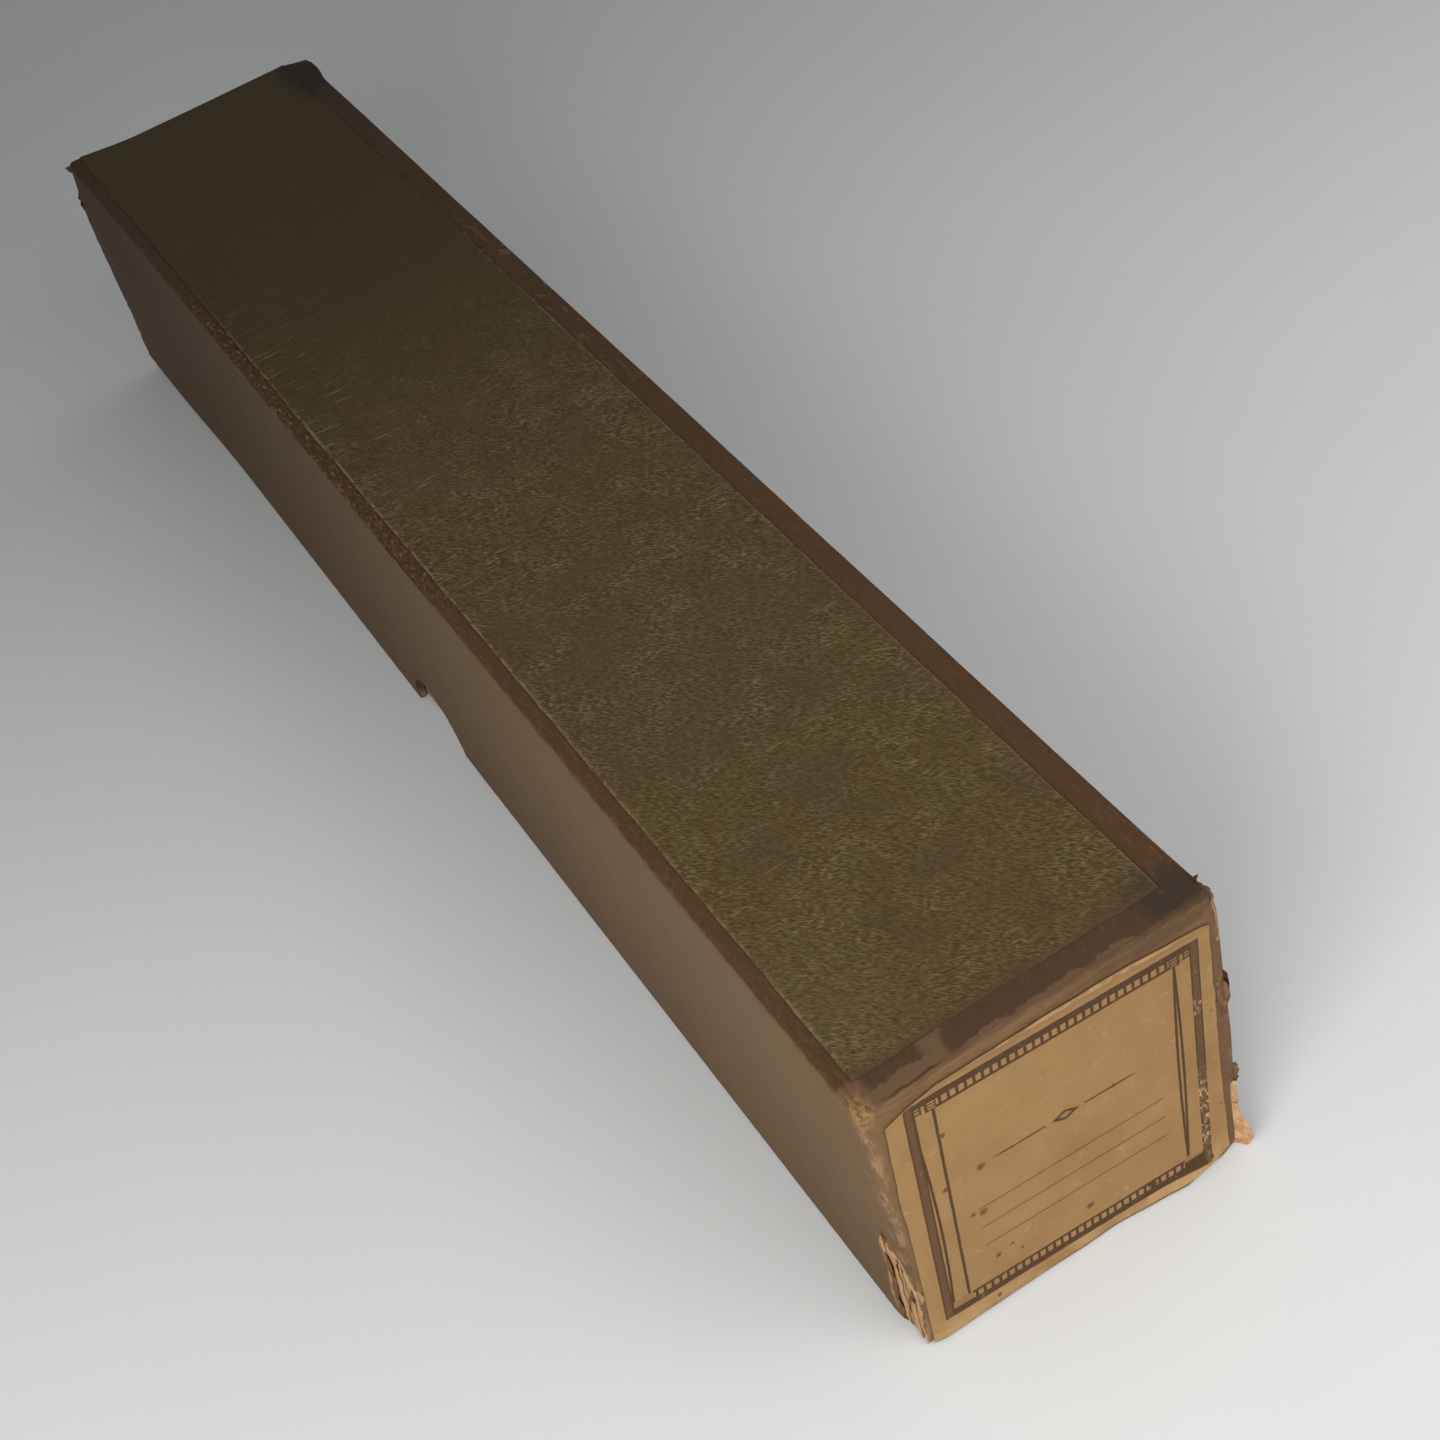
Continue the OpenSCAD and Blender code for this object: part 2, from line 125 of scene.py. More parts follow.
class Finish:
    """One procedural material round a Principled shader."""

    def __init__(self, name, roughness, shine=0.5, **constants):
        self.material = bpy.data.materials.new(name)
        self.material.use_nodes = True
        self.tree = self.material.node_tree
        self.shader = self.tree.nodes["Principled BSDF"]
        self.paint = None
        for socket, value in {"Roughness": roughness, "Specular_IOR_Level": shine, **constants}.items():
            self.shader.inputs[socket.replace("_", " ")].default_value = value
        self.metric = self.vector("MULTIPLY", self.node("TexCoord").outputs["Object"], (1000, 1000, 1000))
        split = self.node("SeparateXYZ", {}, Vector=self.metric)
        self.x, self.y, self.z = (Wire(self, socket) for socket in split.outputs)

    def feed(self, socket, value):
        if isinstance(value, Wire):
            value = value.socket
        if isinstance(value, bpy.types.NodeSocket):
            self.tree.links.new(value, socket)
        else:
            socket.default_value = value

    def node(self, kind, settings=None, **inputs):
        node = self.tree.nodes.new("ShaderNode" + kind)
        for key, value in (settings or {}).items():
            setattr(node, key, value)
        for key, value in inputs.items():
            self.feed(node.inputs[key.replace("_", " ")], value)
        return node

    def vector(self, operation, first, second):
        node = self.node("VectorMath", {"operation": operation})
        self.feed(node.inputs[0], first)
        self.feed(node.inputs[1], second)
        return node.outputs[0]

    def join(self, x, y, z):
        return self.node("CombineXYZ", {}, X=x, Y=y, Z=z).outputs[0]

    def cloud(self, size, detail=2, rough=0.5, stretch=(1, 1, 1), shift=0, at=None):
        """Noise from 0 to 1 whose blotches are about size mm, times stretch on each axis."""
        where = self.vector("MULTIPLY", at or self.metric, tuple(1 / (size * s) for s in stretch))
        if shift:
            where = self.vector("ADD", where, (shift, shift * 0.7, shift * 1.3))
        node = self.node("TexNoise", {}, Vector=where, Scale=1, Detail=detail, Roughness=rough)
        return Wire(self, node.outputs[0])

    def cells(self, size, shift, stretch=(1, 1, 1)):
        """Distance from the middles of scattered cells about size mm across."""
        where = self.vector("MULTIPLY", self.metric, tuple(1 / (size * s) for s in stretch))
        where = self.vector("ADD", where, (shift, shift, shift))
        node = self.node("TexVoronoi", {"feature": "F1"}, Vector=where, Scale=1)
        return Wire(self, node.outputs["Distance"])

    def round(self, x=None, y=None, z=None):
        """Distance from a point, or from a line where one of its places isn't given."""
        apart = [wire - at for wire, at in ((self.x, x), (self.y, y), (self.z, z)) if at is not None]
        return sum(gap * gap for gap in apart) ** 0.5

    def blend(self, under, over, amount):
        node = self.node("Mix", {"data_type": "RGBA"})
        for socket, value in zip((0, 6, 7), (amount, under, over)):
            self.feed(node.inputs[socket], value)
        return node.outputs[2]

    def ground(self, dark, light, amount):
        """Lays the first paint, from one screen colour to another."""
        self.paint = self.blend(linear(*dark), linear(*light), amount)

    def coat(self, colour, amount):
        """Lays a screen colour over the paint."""
        self.paint = self.blend(self.paint, linear(*colour), amount)

    def rough(self, value):
        self.feed(self.shader.inputs["Roughness"], value)

    def bump(self, height, depth, strength=1):
        """Relief of the surface, height 0 to 1 over depth mm."""
        node = self.node("Bump", {}, Height=height, Distance=depth * MM, Strength=strength)
        self.feed(self.shader.inputs["Normal"], node.outputs[0])

    def done(self, tone=None):
        """Gives the shader the paint, made darker or lighter by a factor."""
        if tone is not None:
            self.paint = self.vector("MULTIPLY", self.paint, self.join(tone, tone, tone))
        self.feed(self.shader.inputs["Base Color"], self.paint)
        return self.material


def olive_grained():
    m = Finish("olive_grained_paper", 0.6, 0.14)
    swirl = m.cloud(3.2, 2, shift=3) - 0.5
    across = m.x * 0.76 - m.y * 0.65 + swirl * 1.5
    along_grain = m.y * 0.76 + m.x * 0.65
    grain = m.cloud(0.23, 1.5, 0.5, (1, 4.2, 1), 0, m.join(across, along_grain, m.z * 0.2))
    ridge_highlight = grain.rise(0.5, 0.64)
    valley_shade = grain.fall(0.34, 0.5)
    patch = m.cloud(13, 3, 0.6, shift=1)
    near = m.x.rise(-165, 150) ** 1.42
    crisp = m.x.rise(-70, 15) * 0.96 + 0.04
    worn = m.cloud(6, 4, 0.65, shift=5).rise(0.42, 0.7)
    dull = patch.rise(0.47, 0.62)
    # Ground darker towards the far end: painted shade for the light falling off away from the labelled end.
    m.ground((54, 44, 24), (86, 69, 38), near)
    m.coat((80, 63, 41), dull * crisp * 0.45)
    m.coat((84, 71, 38), patch.fall(0.36, 0.5) * crisp * 0.4)
    faded = m.x.rise(118, 152) * m.y.fall(-24, -6)
    m.coat((104, 90, 62), faded * 0.3)
    # The grain's ridges get a painted highlight and its valleys painted shade, over the bumped grain.
    lines = (0.27 + worn * 0.44) * (1 - dull * 0.45) * crisp
    m.coat((122, 108, 84), ridge_highlight * lines)
    m.coat((52, 38, 16), valley_shade * crisp * (0.5 - dull * 0.16))
    smudge = m.cloud(17, 3, 0.6, shift=14).rise(0.6, 0.78)
    m.coat((52, 43, 31), smudge * 0.35)
    glint = m.cloud(0.7, 2, 0.6, (1, 1.6, 1), 41).rise(0.68, 0.77) * worn
    m.coat((142, 128, 84), glint * crisp * 0.5)
    speck = m.cells(2.8, 5.3).fall(0.04, 0.1) * m.cloud(20, 2, shift=67).rise(0.5, 0.56)
    m.coat((38, 30, 20), speck * 0.7)
    torn_corner = (m.x - 154.6).rise(-1.6, 1.4) * m.y.fall(-25, -21.5)
    m.coat((70, 54, 38), torn_corner * m.cloud(1.4, 3, 0.7, shift=2).rise(0.4, 0.6) * 0.6)
    m.coat((58, 50, 42), corner_stain(m, 158, 25.2, 3.4, 8) * 0.8)
    m.coat((34, 27, 22), corner_stain(m, -154, 26.9, 3.6, 9, 0.42) * 0.85)
    edge_wear = m.cloud(1.6, 4, 0.75, (1.6, 1, 1), 7).rise(0.4, 0.58) * m.x.rise(-110, -20)
    rim = (m.y + 25.6).fall(-0.25, 0.3) * 0.9 + (m.y - 23.75).rise(-0.35, 0.2) * 0.4
    m.coat((128, 114, 78), rim * edge_wear * 0.7)
    marks = m.cloud(16, 2, shift=23).rise(0.5, 0.58) * m.x.rise(-80, 0)
    marks = marks.most(m.x.inside(-80, 40, 12) * m.y.fall(-17, -4))
    scratch = m.cloud(0.8, 2, 0.6, (0.5, 9, 1), 21).rise(0.63, 0.69) * marks
    m.coat((134, 118, 78), scratch * 0.5)
    rubbed_end = (m.x - 155.4 + (m.cloud(1.1, 3, 0.7, shift=29) - 0.5) * 2.4).rise(-0.5, 0.7)
    m.coat((84, 64, 44), rubbed_end * 0.75)
    m.rough(0.6 + patch * 0.14 + valley_shade * 0.12)
    m.bump(grain * 0.8 + m.cloud(0.3, 2, shift=9) * 0.2, 0.11, 0.65)
    return m.done()


def corner_stain(m, x, y, low, high, narrow=1):
    """A dark, uneven mark about a point of the lid's top, narrowed along the lid or not."""
    across, aside = (m.x - x) * narrow, m.y - y
    far = (across * across + aside * aside) ** 0.5
    uneven = (m.cloud(2.4, 3, 0.7, shift=43) - 0.5) * 7
    return (far + uneven).fall(low, high)


def brown_wrap():
    m = Finish("brown_wrap_paper", 0.56, 0.17)
    top = m.z.rise(58.2, 58.6)
    end = m.x.rise(161.2, 161.9)
    left = m.y.fall(-8, 8)
    near = m.x.rise(-165, 160)
    cloudy = m.cloud(26, 3, 0.55, (1.6, 1, 1), 2)
    fibre = m.cloud(0.5, 3, 0.6, (3.5, 1, 1), 6)
    grime = m.cloud(6.5, 3, 0.6, (1.2, 1, 1), 4)
    small = m.cloud(0.9, 4, 0.7, shift=44)
    freckle = m.cloud(0.55, 2, 0.6, (1.8, 1, 1), 61)
    turned = m.cloud(0.42, 2, 0.6, (1, 9, 1), 63)
    fold = m.x.rise(160.6, 161.3) * m.z.rise(54.8, 56.2)
    # Top ground darker towards the far end: painted shade for the light falling off away from the labelled
    # end.
    m.ground((50, 39, 24), (82, 58, 37), near)
    m.coat((96, 59, 37), left * near * small.rise(0.48, 0.62) * 0.5)
    speckled = left * m.x.inside(-90, 30, 16)
    m.coat((42, 28, 17), freckle.rise(0.52, 0.64) * (speckled * 0.6 + 0.14))
    m.coat((132, 98, 66), freckle.fall(0.3, 0.42) * (speckled * 0.62 + left * near * 0.16))
    margin = m.x.rise(155.6, 157)
    m.coat((104, 79, 57), margin)
    reach = 160.7 - m.x + (grime - 0.5) * 5 + (small - 0.5) * 2
    long_patch = reach.rise(-0.1, 0.4) * (m.y + 12.5 + (grime - 0.5) * 7).rise(-0.9, 0.9)
    short_patch = (reach - 1.2).rise(-0.1, 0.4) * m.y.inside(-25, -16.2, 0.8)
    dark = long_patch.most(short_patch) * margin
    m.coat((74, 55, 38), dark * 0.92)
    m.coat((88, 54, 38), dark * small.rise(0.52, 0.64) * 0.45)
    m.coat((56, 47, 39), corner_stain(m, 158, 25.2, 2.6, 7) * 0.8)
    border = m.paint
    # Walls darker towards the far end and towards the bottom: painted shade for how the light falls on them.
    m.ground((60, 42, 19), (109, 84, 52), near)
    m.coat((80, 56, 31), m.z.fall(-6, 48) * 0.55)
    m.coat((113, 88, 58), cloudy.rise(0.45, 0.8) * near * 0.35)
    m.coat((120, 92, 61), end)
    m.paint = m.blend(m.paint, border, top)
    m.coat((84, 62, 40), fold * m.y.rise(-6, 20) * 0.7)
    # Light and dark streaks along the turned-over fold: painted highlight and painted shade on its crinkles,
    # which the bump also raises.
    m.coat((134, 104, 72), fold * turned.rise(0.5, 0.72) * 0.36)
    m.coat((86, 62, 42), fold * turned.fall(0.34, 0.48) * 0.5)
    shoulder = m.z.inside(57.5, 58.75, 0.25) * m.x.fall(157, 160)
    fray = m.cloud(0.9, 4, 0.7, (3, 1, 1), 17)
    stretch_worn = m.x.inside(-66, 16, 10)
    m.coat((66, 43, 27), shoulder * fray.rise(0.47, 0.57) * (stretch_worn * 0.45 + 0.4))
    m.coat((132, 97, 64), shoulder * fray.fall(0.36, 0.44) * (stretch_worn * 0.5 + 0.25))
    upright = (abs(m.y) - 26.3).rise(0, 1.6) * (m.x - 158).rise(0, 3.4) * m.z.fall(56, 58)
    scuff = m.cloud(1.3, 4, 0.7, (1, 1, 2.6), 11)
    m.coat((164, 133, 98), upright * left * scuff.rise(0.48, 0.62) * 0.65)
    m.coat((92, 66, 46), upright * left * scuff.fall(0.34, 0.46) * 0.6)
    right_edge = upright * (1 - left)
    m.coat((113, 84, 58), right_edge * 0.9)
    red = m.cloud(2.2, 3, 0.65, (1, 1, 0.6), 47).rise(0.52, 0.66)
    m.coat((92, 58, 40), right_edge * red * 0.6)
    m.coat((134, 103, 74), right_edge * m.cloud(3.4, 2, shift=69).rise(0.55, 0.7) * 0.6)
    rub = (m.x - 159.6).rise(-3.4, 1) * (m.y + 26.6).fall(-1.2, 1.6) * (m.z - 56.2).rise(-0.8, 1.4)
    streak = m.cloud(0.8, 3, 0.7, (2.4, 0.8, 1), 12)
    m.coat((160, 122, 76), rub * streak.rise(0.4, 0.56) * 0.85)
    # Dark streaks in the rubbed corner: painted shade in its crease lines; the pale streaks above are worn
    # paper.
    m.coat((92, 62, 40), rub * m.cloud(0.8, 3, 0.7, (2.6, 0.8, 1), 49).rise(0.53, 0.63) * 0.8)
    rim = m.z.fall(0.7, 1.9) * m.cloud(2.4, 3, 0.7, shift=15).rise(0.42, 0.62)
    m.coat((140, 110, 78), rim * 0.4)
    far_corner = corner_stain(m, -155.5, 27.5, 3.2, 7.5, 0.42) * (m.z - 50).rise(-3, 4)
    m.coat((34, 26, 22), far_corner * 0.9)
    crack_line = abs(m.x - 161.35 - (m.y + 21) * -0.05 - (m.cloud(2, 2, shift=8) - 0.5) * 0.9)
    crack = crack_line.fall(0.08, 0.34) * m.y.inside(-24.6, -15.4, 1.6) * (m.z - 57.2).rise(0, 0.7)
    m.coat((58, 36, 22), crack * 0.75)
    split_line = abs(m.z - 58.2 - (m.cloud(3, 3, 0.6, shift=83) - 0.5) * 1.4).fall(0.12, 0.36)
    split = split_line * m.x.inside(6, 30, 5) * left * m.cloud(5, 2, shift=85).rise(0.3, 0.42)
    m.coat((42, 27, 18), split * 0.85)
    m.rough(0.5 + cloudy * 0.14 + top * 0.12 + grime * 0.08)
    m.bump(fibre * 0.2 + m.cloud(5, 2, shift=19) * 0.5 + grime * top * 0.5 + fold * turned * 0.5
           + freckle * top * 0.4 - crack * 0.8 - split * 0.8, 0.09, 0.65)
    return m.done(0.94 + fibre * 0.12)


def paper_edge():
    m = Finish("torn_paper_edge", 0.85, 0.2)
    grit = m.cloud(0.5, 3, 0.6)
    m.ground((146, 112, 78), (182, 148, 104), grit)
    m.bump(grit, 0.05, 0.6)
    return m.done()


def panel_edge():
    m = Finish("olive_paper_cut_edge", 0.75, 0.25)
    wear = m.cloud(1.8, 3, 0.65).rise(0.36, 0.62)
    m.ground((92, 80, 50), (142, 128, 86), wear)
    plain = m.x.rise(154.6, 155.6).most(m.x.fall(-80, -20))
    m.coat((62, 50, 32), plain * 0.9)
    return m.done()


def strawboard():
    m = Finish("strawboard", 0.86, 0.2)
    fibre = m.cloud(0.7, 4, 0.65, (3, 1.6, 1), 1)
    fleck = m.cells(1.9, 4, (2.6, 1, 1)).fall(0.1, 0.24)
    m.ground((158, 124, 78), (190, 158, 106), fibre)
    m.coat((120, 88, 52), fleck * 0.55)
    m.coat((142, 106, 64), m.cloud(22, 3, shift=6).rise(0.5, 0.75) * 0.4)
    # Where the thumb notch cuts the lid's board: painted shade in the notch's hollow, with a painted light
    # patch at its foot.
    notch_cut_shade = abs(m.x + 6).fall(11, 13) * m.z.fall(11.5, 14) * abs(m.y).rise(26.9, 27.2)
    m.coat((70, 52, 34), notch_cut_shade * (0.78 + m.cloud(1.2, 3, shift=8).rise(0.3, 0.7) * 0.2))
    m.coat((134, 104, 60), notch_cut_shade * m.z.fall(1, 3.4) * 0.7)
    torn = (m.x - 152.5).rise(0, 2) * (m.z - 27).fall(-1.5, 2)
    slit = m.cloud(0.8, 3, 0.6, (1.1, 1, 6.5), 5)
    rusty = torn * (m.x - 158.2).fall(-1.6, 1.2) * m.cloud(1.5, 3, 0.6, shift=3).rise(0.36, 0.56)
    m.coat((112, 68, 40), rusty * 0.8)
    # Dark slits: painted shadow in the gaps between torn flakes. Pale slits: torn fibre.
    m.coat((84, 48, 28), torn * slit.rise(0.52, 0.59) * 0.9)
    m.coat((198, 156, 114), torn * slit.fall(0.4, 0.47) * 0.45)
    m.bump(fibre * 0.5 + fleck * 0.2 - torn * slit.rise(0.5, 0.6) * 1.2, 0.16, 0.8)
    return m.done()


def stay_paper():
    m = Finish("stay_paper", 0.8, 0.25)
    fibre = m.cloud(0.6, 3, 0.6, (1, 1, 2.4))
    shaded = m.cloud(1.7, 3, 0.6, (1, 1, 2.2), 5).rise(0.5, 0.66)
    m.ground((164, 124, 88), (196, 156, 116), fibre)
    m.coat((122, 84, 56), shaded * 0.7)
    m.bump(fibre, 0.06, 0.6)
    return m.done()


def orange_pulp():
    m = Finish("torn_orange_pulp", 0.82, 0.2)
    fibre = m.cloud(0.7, 4, 0.65, (1, 1, 2.6))
    m.ground((176, 134, 94), (214, 174, 130), fibre.rise(0.3, 0.7))
    low = m.z.fall(2, 6) * m.cloud(1.6, 3, shift=3).rise(0.4, 0.6)
    m.coat((178, 112, 62), low * 0.75)
    m.bump(fibre, 0.1, 0.8)
    return m.done()


def torn_sheet(name, dark, light, size=0.7):
    m = Finish(name, 0.74, 0.22)
    fibre = m.cloud(size, 3, 0.6, (1, 1, 1.8))
    m.ground(dark, light, fibre.rise(0.3, 0.7))
    m.bump(fibre, 0.07, 0.7)
    return m.done()


# The label's print: bars, thin lines, a ladder border and key corners, with a lozenge and ruled lines inside

PRINT_LEFT, PRINT_RIGHT = 5.05, 53.3
PRINT_LOW, PRINT_HIGH = 3, 54.1
BAR_WIDE = 1.6
LADDER_SOLID = 1.42
LADDER_CELL = 2.7
LADDER_TALL = 3.25
LADDER_PITCH = 1.37
LADDER_STARTS = 5


def label_print(m):
    """How much ink lies at a point of the label, its height in the print, and the middles of the bars."""
    from_left = m.y + HALF_W
    a = from_left - (m.z - 29) * 0.037
    b = m.z + (from_left - HALF_W) * 0.063
    b = b - (from_left - 51.4).most(0) * m.z.fall(6, 12) * 0.5
    wobble = (m.cloud(1.2, 2, shift=2) - 0.5) * 0.16
    a = a + wobble
    b = b + (m.cloud(1.3, 2, shift=7) - 0.5) * 0.14
    p = (a - PRINT_LEFT).least(PRINT_RIGHT - a)
    q = (b - PRINT_LOW).least(PRINT_HIGH - b)
    within = p.rise(-0.08, 0.08) * q.rise(-0.08, 0.08)
    side = a.rise(27, 27.2)
    bars = p.inside(0, BAR_WIDE, 0.07) * q.rise(0, 0.1)
    low_z, high_z = 3, 45
    swell = ((m.z - low_z) / (high_z - low_z)).most(0).least(1)
    lens = (swell * (1 - swell)) * 2.7
    inner = (1 - side) * abs(p - BAR_WIDE + 0.12 - lens).fall(0.16, 0.3) * q.rise(3, 3.2)
    second = (1 - side) * abs(p - 4.5).fall(0.17, 0.32) * q.rise(3, 3.2)
    long_z = ((m.z - 5.5) / 44).most(0).least(1)
    spread = (long_z * (1 - long_z)) * 1.7
    spindle = side * abs(abs(p - 4.3) - spread).fall(0.16, 0.3) * m.z.inside(5.5, 49.6, 0.2)
    rung = (a / LADDER_PITCH + 0.12).part()
    cell = rung.inside(0.16, 0.78, 0.06) * q.inside(LADDER_SOLID, LADDER_CELL, 0.07)
    uneven = m.cloud(4, 2, shift=51).rise(0.24, 0.32)
    ladder = q.inside(0, LADDER_TALL, 0.06) * p.rise(LADDER_STARTS, LADDER_STARTS + 0.1) * (1 - cell * uneven)
    rows_in = p.inside(3.72, 4.86, 0.06) * ((q - 1.42) / 0.6).part().fall(0.5, 0.62)
    rows_out = p.inside(1.68, 2.42, 0.08) * ((q - 1.3) / 0.74).part().fall(0.5, 0.64)
    slot = p.inside(2.74, 3.24, 0.07)
    key_light = (rows_in + rows_out + slot) * q.rise(1.36, 1.5)
    upper = m.z.rise(27, 30)
    key = q.inside(0, LADDER_TALL, 0.06) * p.inside(BAR_WIDE - 0.1, LADDER_STARTS + 0.08, 0.05)
    key = key * (1 - key_light.least(1) * (0.25 * (1 - side) + upper * 0.75))
    key = key * (1 - q.rise(2.9, 3.05) * p.fall(3.2, 3.4) * upper)
    key = key * (1 - (q - side * 0.9).rise(1.5, 1.7) * (1 - upper) * 0.75)
    ruled = 0
    for at in (15, 19.5, 24):
        ruled = abs(b - at).fall(0.06, 0.2) + ruled
    ruled = ruled * a.inside(13.5, 45.5, 0.15) * 0.75
    rule_taper = (1 - abs(a - 29.2) / 13).most(0)
    taper = abs(b - 33.5).fall(0.05, 0.3) * rule_taper.rise(0, 0.2) * abs(a - 29.2).rise(3.2, 3.4)
    lozenge_at = abs(a - 29.2) / 2.5 + abs(b - 33.5) / 1.15
    lozenge = lozenge_at.fall(0.9, 1.05) - lozenge_at.fall(0.42, 0.56) * 0.85
    frame_ink = (bars + inner + second + spindle + ladder + key).least(1) * within
    ink = (frame_ink + ruled + taper + lozenge).least(1).most(0)
    return ink, b, bars * p.inside(0.3, BAR_WIDE - 0.3, 0.12)


# The label's larger rust spots: across, up and radius
RUST_SPOTS = [
    (-14.8, 23.9, 0.75), (-16.5, 24.7, 0.45), (-14.1, 11.9, 0.5), (-11.6, 12.5, 0.4), (-10.2, 10.1, 0.35),
    (-19.5, 33.9, 0.6), (-18, 45.6, 0.5), (-15.5, 2.4, 0.4), (1.8, 9.3, 0.6), (8.8, 32.9, 0.4),
    (-13.6, 34, 0.7)]


def label_paper():
    m = Finish("label_paper", 0.72, 0.28)
    ink, b, bar_middle = label_print(m)
    mottled = m.cloud(9, 4, 0.6, shift=1)
    fibre = m.cloud(0.45, 3, 0.6, shift=3)
    m.ground((144, 107, 62), (170, 133, 87), mottled)
    m.coat((144, 104, 66), m.cloud(15, 3, 0.6, shift=9).rise(0.5, 0.75) * 0.5)
    m.coat((150, 122, 76), m.cloud(3.4, 3, 0.6, shift=77).rise(0.5, 0.7) * 0.4)
    m.coat((186, 150, 106), m.cloud(1.6, 3, 0.7, shift=53).rise(0.6, 0.74) * 0.4)
    stain = m.z.fall(1, 7.5) * m.cloud(6.5, 3, 0.55, shift=30).rise(0.36, 0.62)
    m.coat((200, 166, 118), stain * 0.45)
    rubbed = m.cloud(0.62, 3, 0.7, (1, 1, 1.6), 12)
    worn_bar = (m.z.inside(6, 21, 5) + m.z.inside(37, 39.5, 1.2) * 0.7) * (m.y - 22.2).rise(-0.4, 0.5)
    faded = m.cloud(1.1, 3, 0.7, shift=16).rise(0.6, 0.74) * 0.55
    paler = bar_middle * 0.7 + m.cloud(1.4, 3, 0.7, shift=18) * 0.3
    tone = m.blend(linear(63, 39, 12), linear(95, 69, 40), paler)
    scrape = worn_bar * rubbed.rise(0.47, 0.57)
    m.paint = m.blend(m.paint, tone, ink * (0.94 - faded) * (1 - scrape * 0.95))
    m.coat((206, 182, 142), scrape * ink * rubbed.rise(0.54, 0.62) * 0.8)
    dots = m.cells(2.6, 8.3).fall(0.05, 0.14) * m.cloud(7, 2, shift=27).rise(0.56, 0.64)
    m.coat((96, 58, 36), dots * 0.7)
    ragged = (m.cloud(0.7, 3, 0.6, shift=37) - 0.5) * 0.9
    for spot_y, spot_z, size in RUST_SPOTS:
        m.coat((104, 54, 24), (m.round(y=spot_y, z=spot_z) + ragged).fall(size * 0.5, size * 1.35) * 0.8)
    # The upturned shoulder at the label's top is darker: painted shade against the light from above. A
    # painted highlight runs along its very top edge.
    shoulder = (b - 53.9).rise(0.3, 1.4)
    m.coat((138, 104, 66), shoulder * 0.55)
    m.coat((196, 160, 112), (b - 55.2).rise(0.2, 0.6) * m.cloud(2.6, 3, 0.6, shift=81).rise(0.4, 0.6) * 0.6)
    edge = m.z.fall(0.55, 1)
    m.coat((92, 58, 34), edge * 0.8)
    m.rough(0.66 + mottled * 0.14 - ink * 0.05)
    crease = abs(m.z - 8.6 + (m.y + 3) * 0.05 - (m.cloud(6, 2, shift=33) - 0.5) * 1.6).fall(0, 0.5)
    m.bump(fibre * 0.3 + m.cloud(4, 3, shift=35) * 0.6 - crease * 0.35, 0.07, 0.7)
    return m.done(0.92 + fibre * 0.16)


def plain_paper(name, dark, light, streak=(1, 1, 1), roughness=0.75, notch_shaded=False):
    m = Finish(name, roughness, 0.28)
    fibre = m.cloud(0.5, 3, 0.6, streak, 2)
    patch = m.cloud(28, 3, 0.6, shift=4)
    m.ground(dark, light, patch)
    fox = m.cells(11, 2.6) + (m.cloud(1.6, 3, shift=6) - 0.5) * 0.14
    m.coat((136, 98, 58), fox.fall(0.02, 0.1) * 0.5)
    if notch_shaded:
        # Round the lid's thumb notch: painted shade on the tray paper where the notch leaves it in shadow.
        reach = m.round(x=NOTCH_X, z=0) + (m.cloud(5, 3, shift=14) - 0.5) * 3
        notch_shade = reach.fall(9.5, 14.5) * abs(m.y).rise(20, 24)
        m.coat((86, 76, 70), notch_shade * (0.7 + patch * 0.2))
    m.rough(roughness - 0.06 + patch * 0.12)
    m.bump(fibre * 0.4 + m.cloud(6, 2, shift=9) * 0.6, 0.06, 0.6)
    return m.done(0.95 + fibre * 0.1)


def wound_edges():
    """Music paper whose hundred turns show as fine rings on the roll's ends."""
    m = Finish("music_paper", 0.78, 0.25)
    radius = m.round(y=0, z=AXIS_Z)
    ends = (abs(m.x) - 142.6).rise(0, 0.15)
    turns = m.cloud(1, 2, 0.6, (1, 1, 1), 3, m.join(radius * 7, m.x * 0, m.z * 0.02))
    m.ground((196, 176, 132), (222, 204, 160), m.cloud(16, 3, shift=2))
    m.coat((150, 122, 80), ends * turns.rise(0.42, 0.62) * 0.6)
    m.bump(ends * turns + m.cloud(0.6, 3, shift=7) * 0.2, 0.1, 0.7)
    return m.done()


def linen():
    m = Finish("linen", 0.88, 0.2)
    over = (m.x / 0.5).part()
    under = (m.y / 0.5).part()
    check = ((m.x / 0.5).whole() + (m.y / 0.5).whole()) * 0.5
    odd = check.part() * 2
    warp = 1 - abs(over - 0.5) * 2
    weft = 1 - abs(under - 0.5) * 2
    weave = warp * odd + weft * (1 - odd)
    slub = m.cloud(1.2, 3, 0.6, (4, 1, 1), 3)
    m.ground((96, 86, 62), (158, 146, 112), weave * 0.6 + slub * 0.4)
    m.bump(weave, 0.12, 0.9)
    return m.done()


def metal(name, dark, light, roughness, spots=0.5, brushed=(1, 1, 1)):
    m = Finish(name, roughness, Metallic=1)
    haze = m.cloud(4, 4, 0.65, brushed, 1)
    m.ground(dark, light, haze)
    tarnish = m.cloud(1.6, 4, 0.7, shift=8).rise(0.56, 0.76)
    m.coat((84, 62, 44), tarnish * spots)
    m.rough(roughness - 0.08 + haze * 0.16 + tarnish * 0.25)
    m.bump(m.cloud(0.5, 3, 0.6, brushed, 3), 0.03, 0.5)
    return m.done()


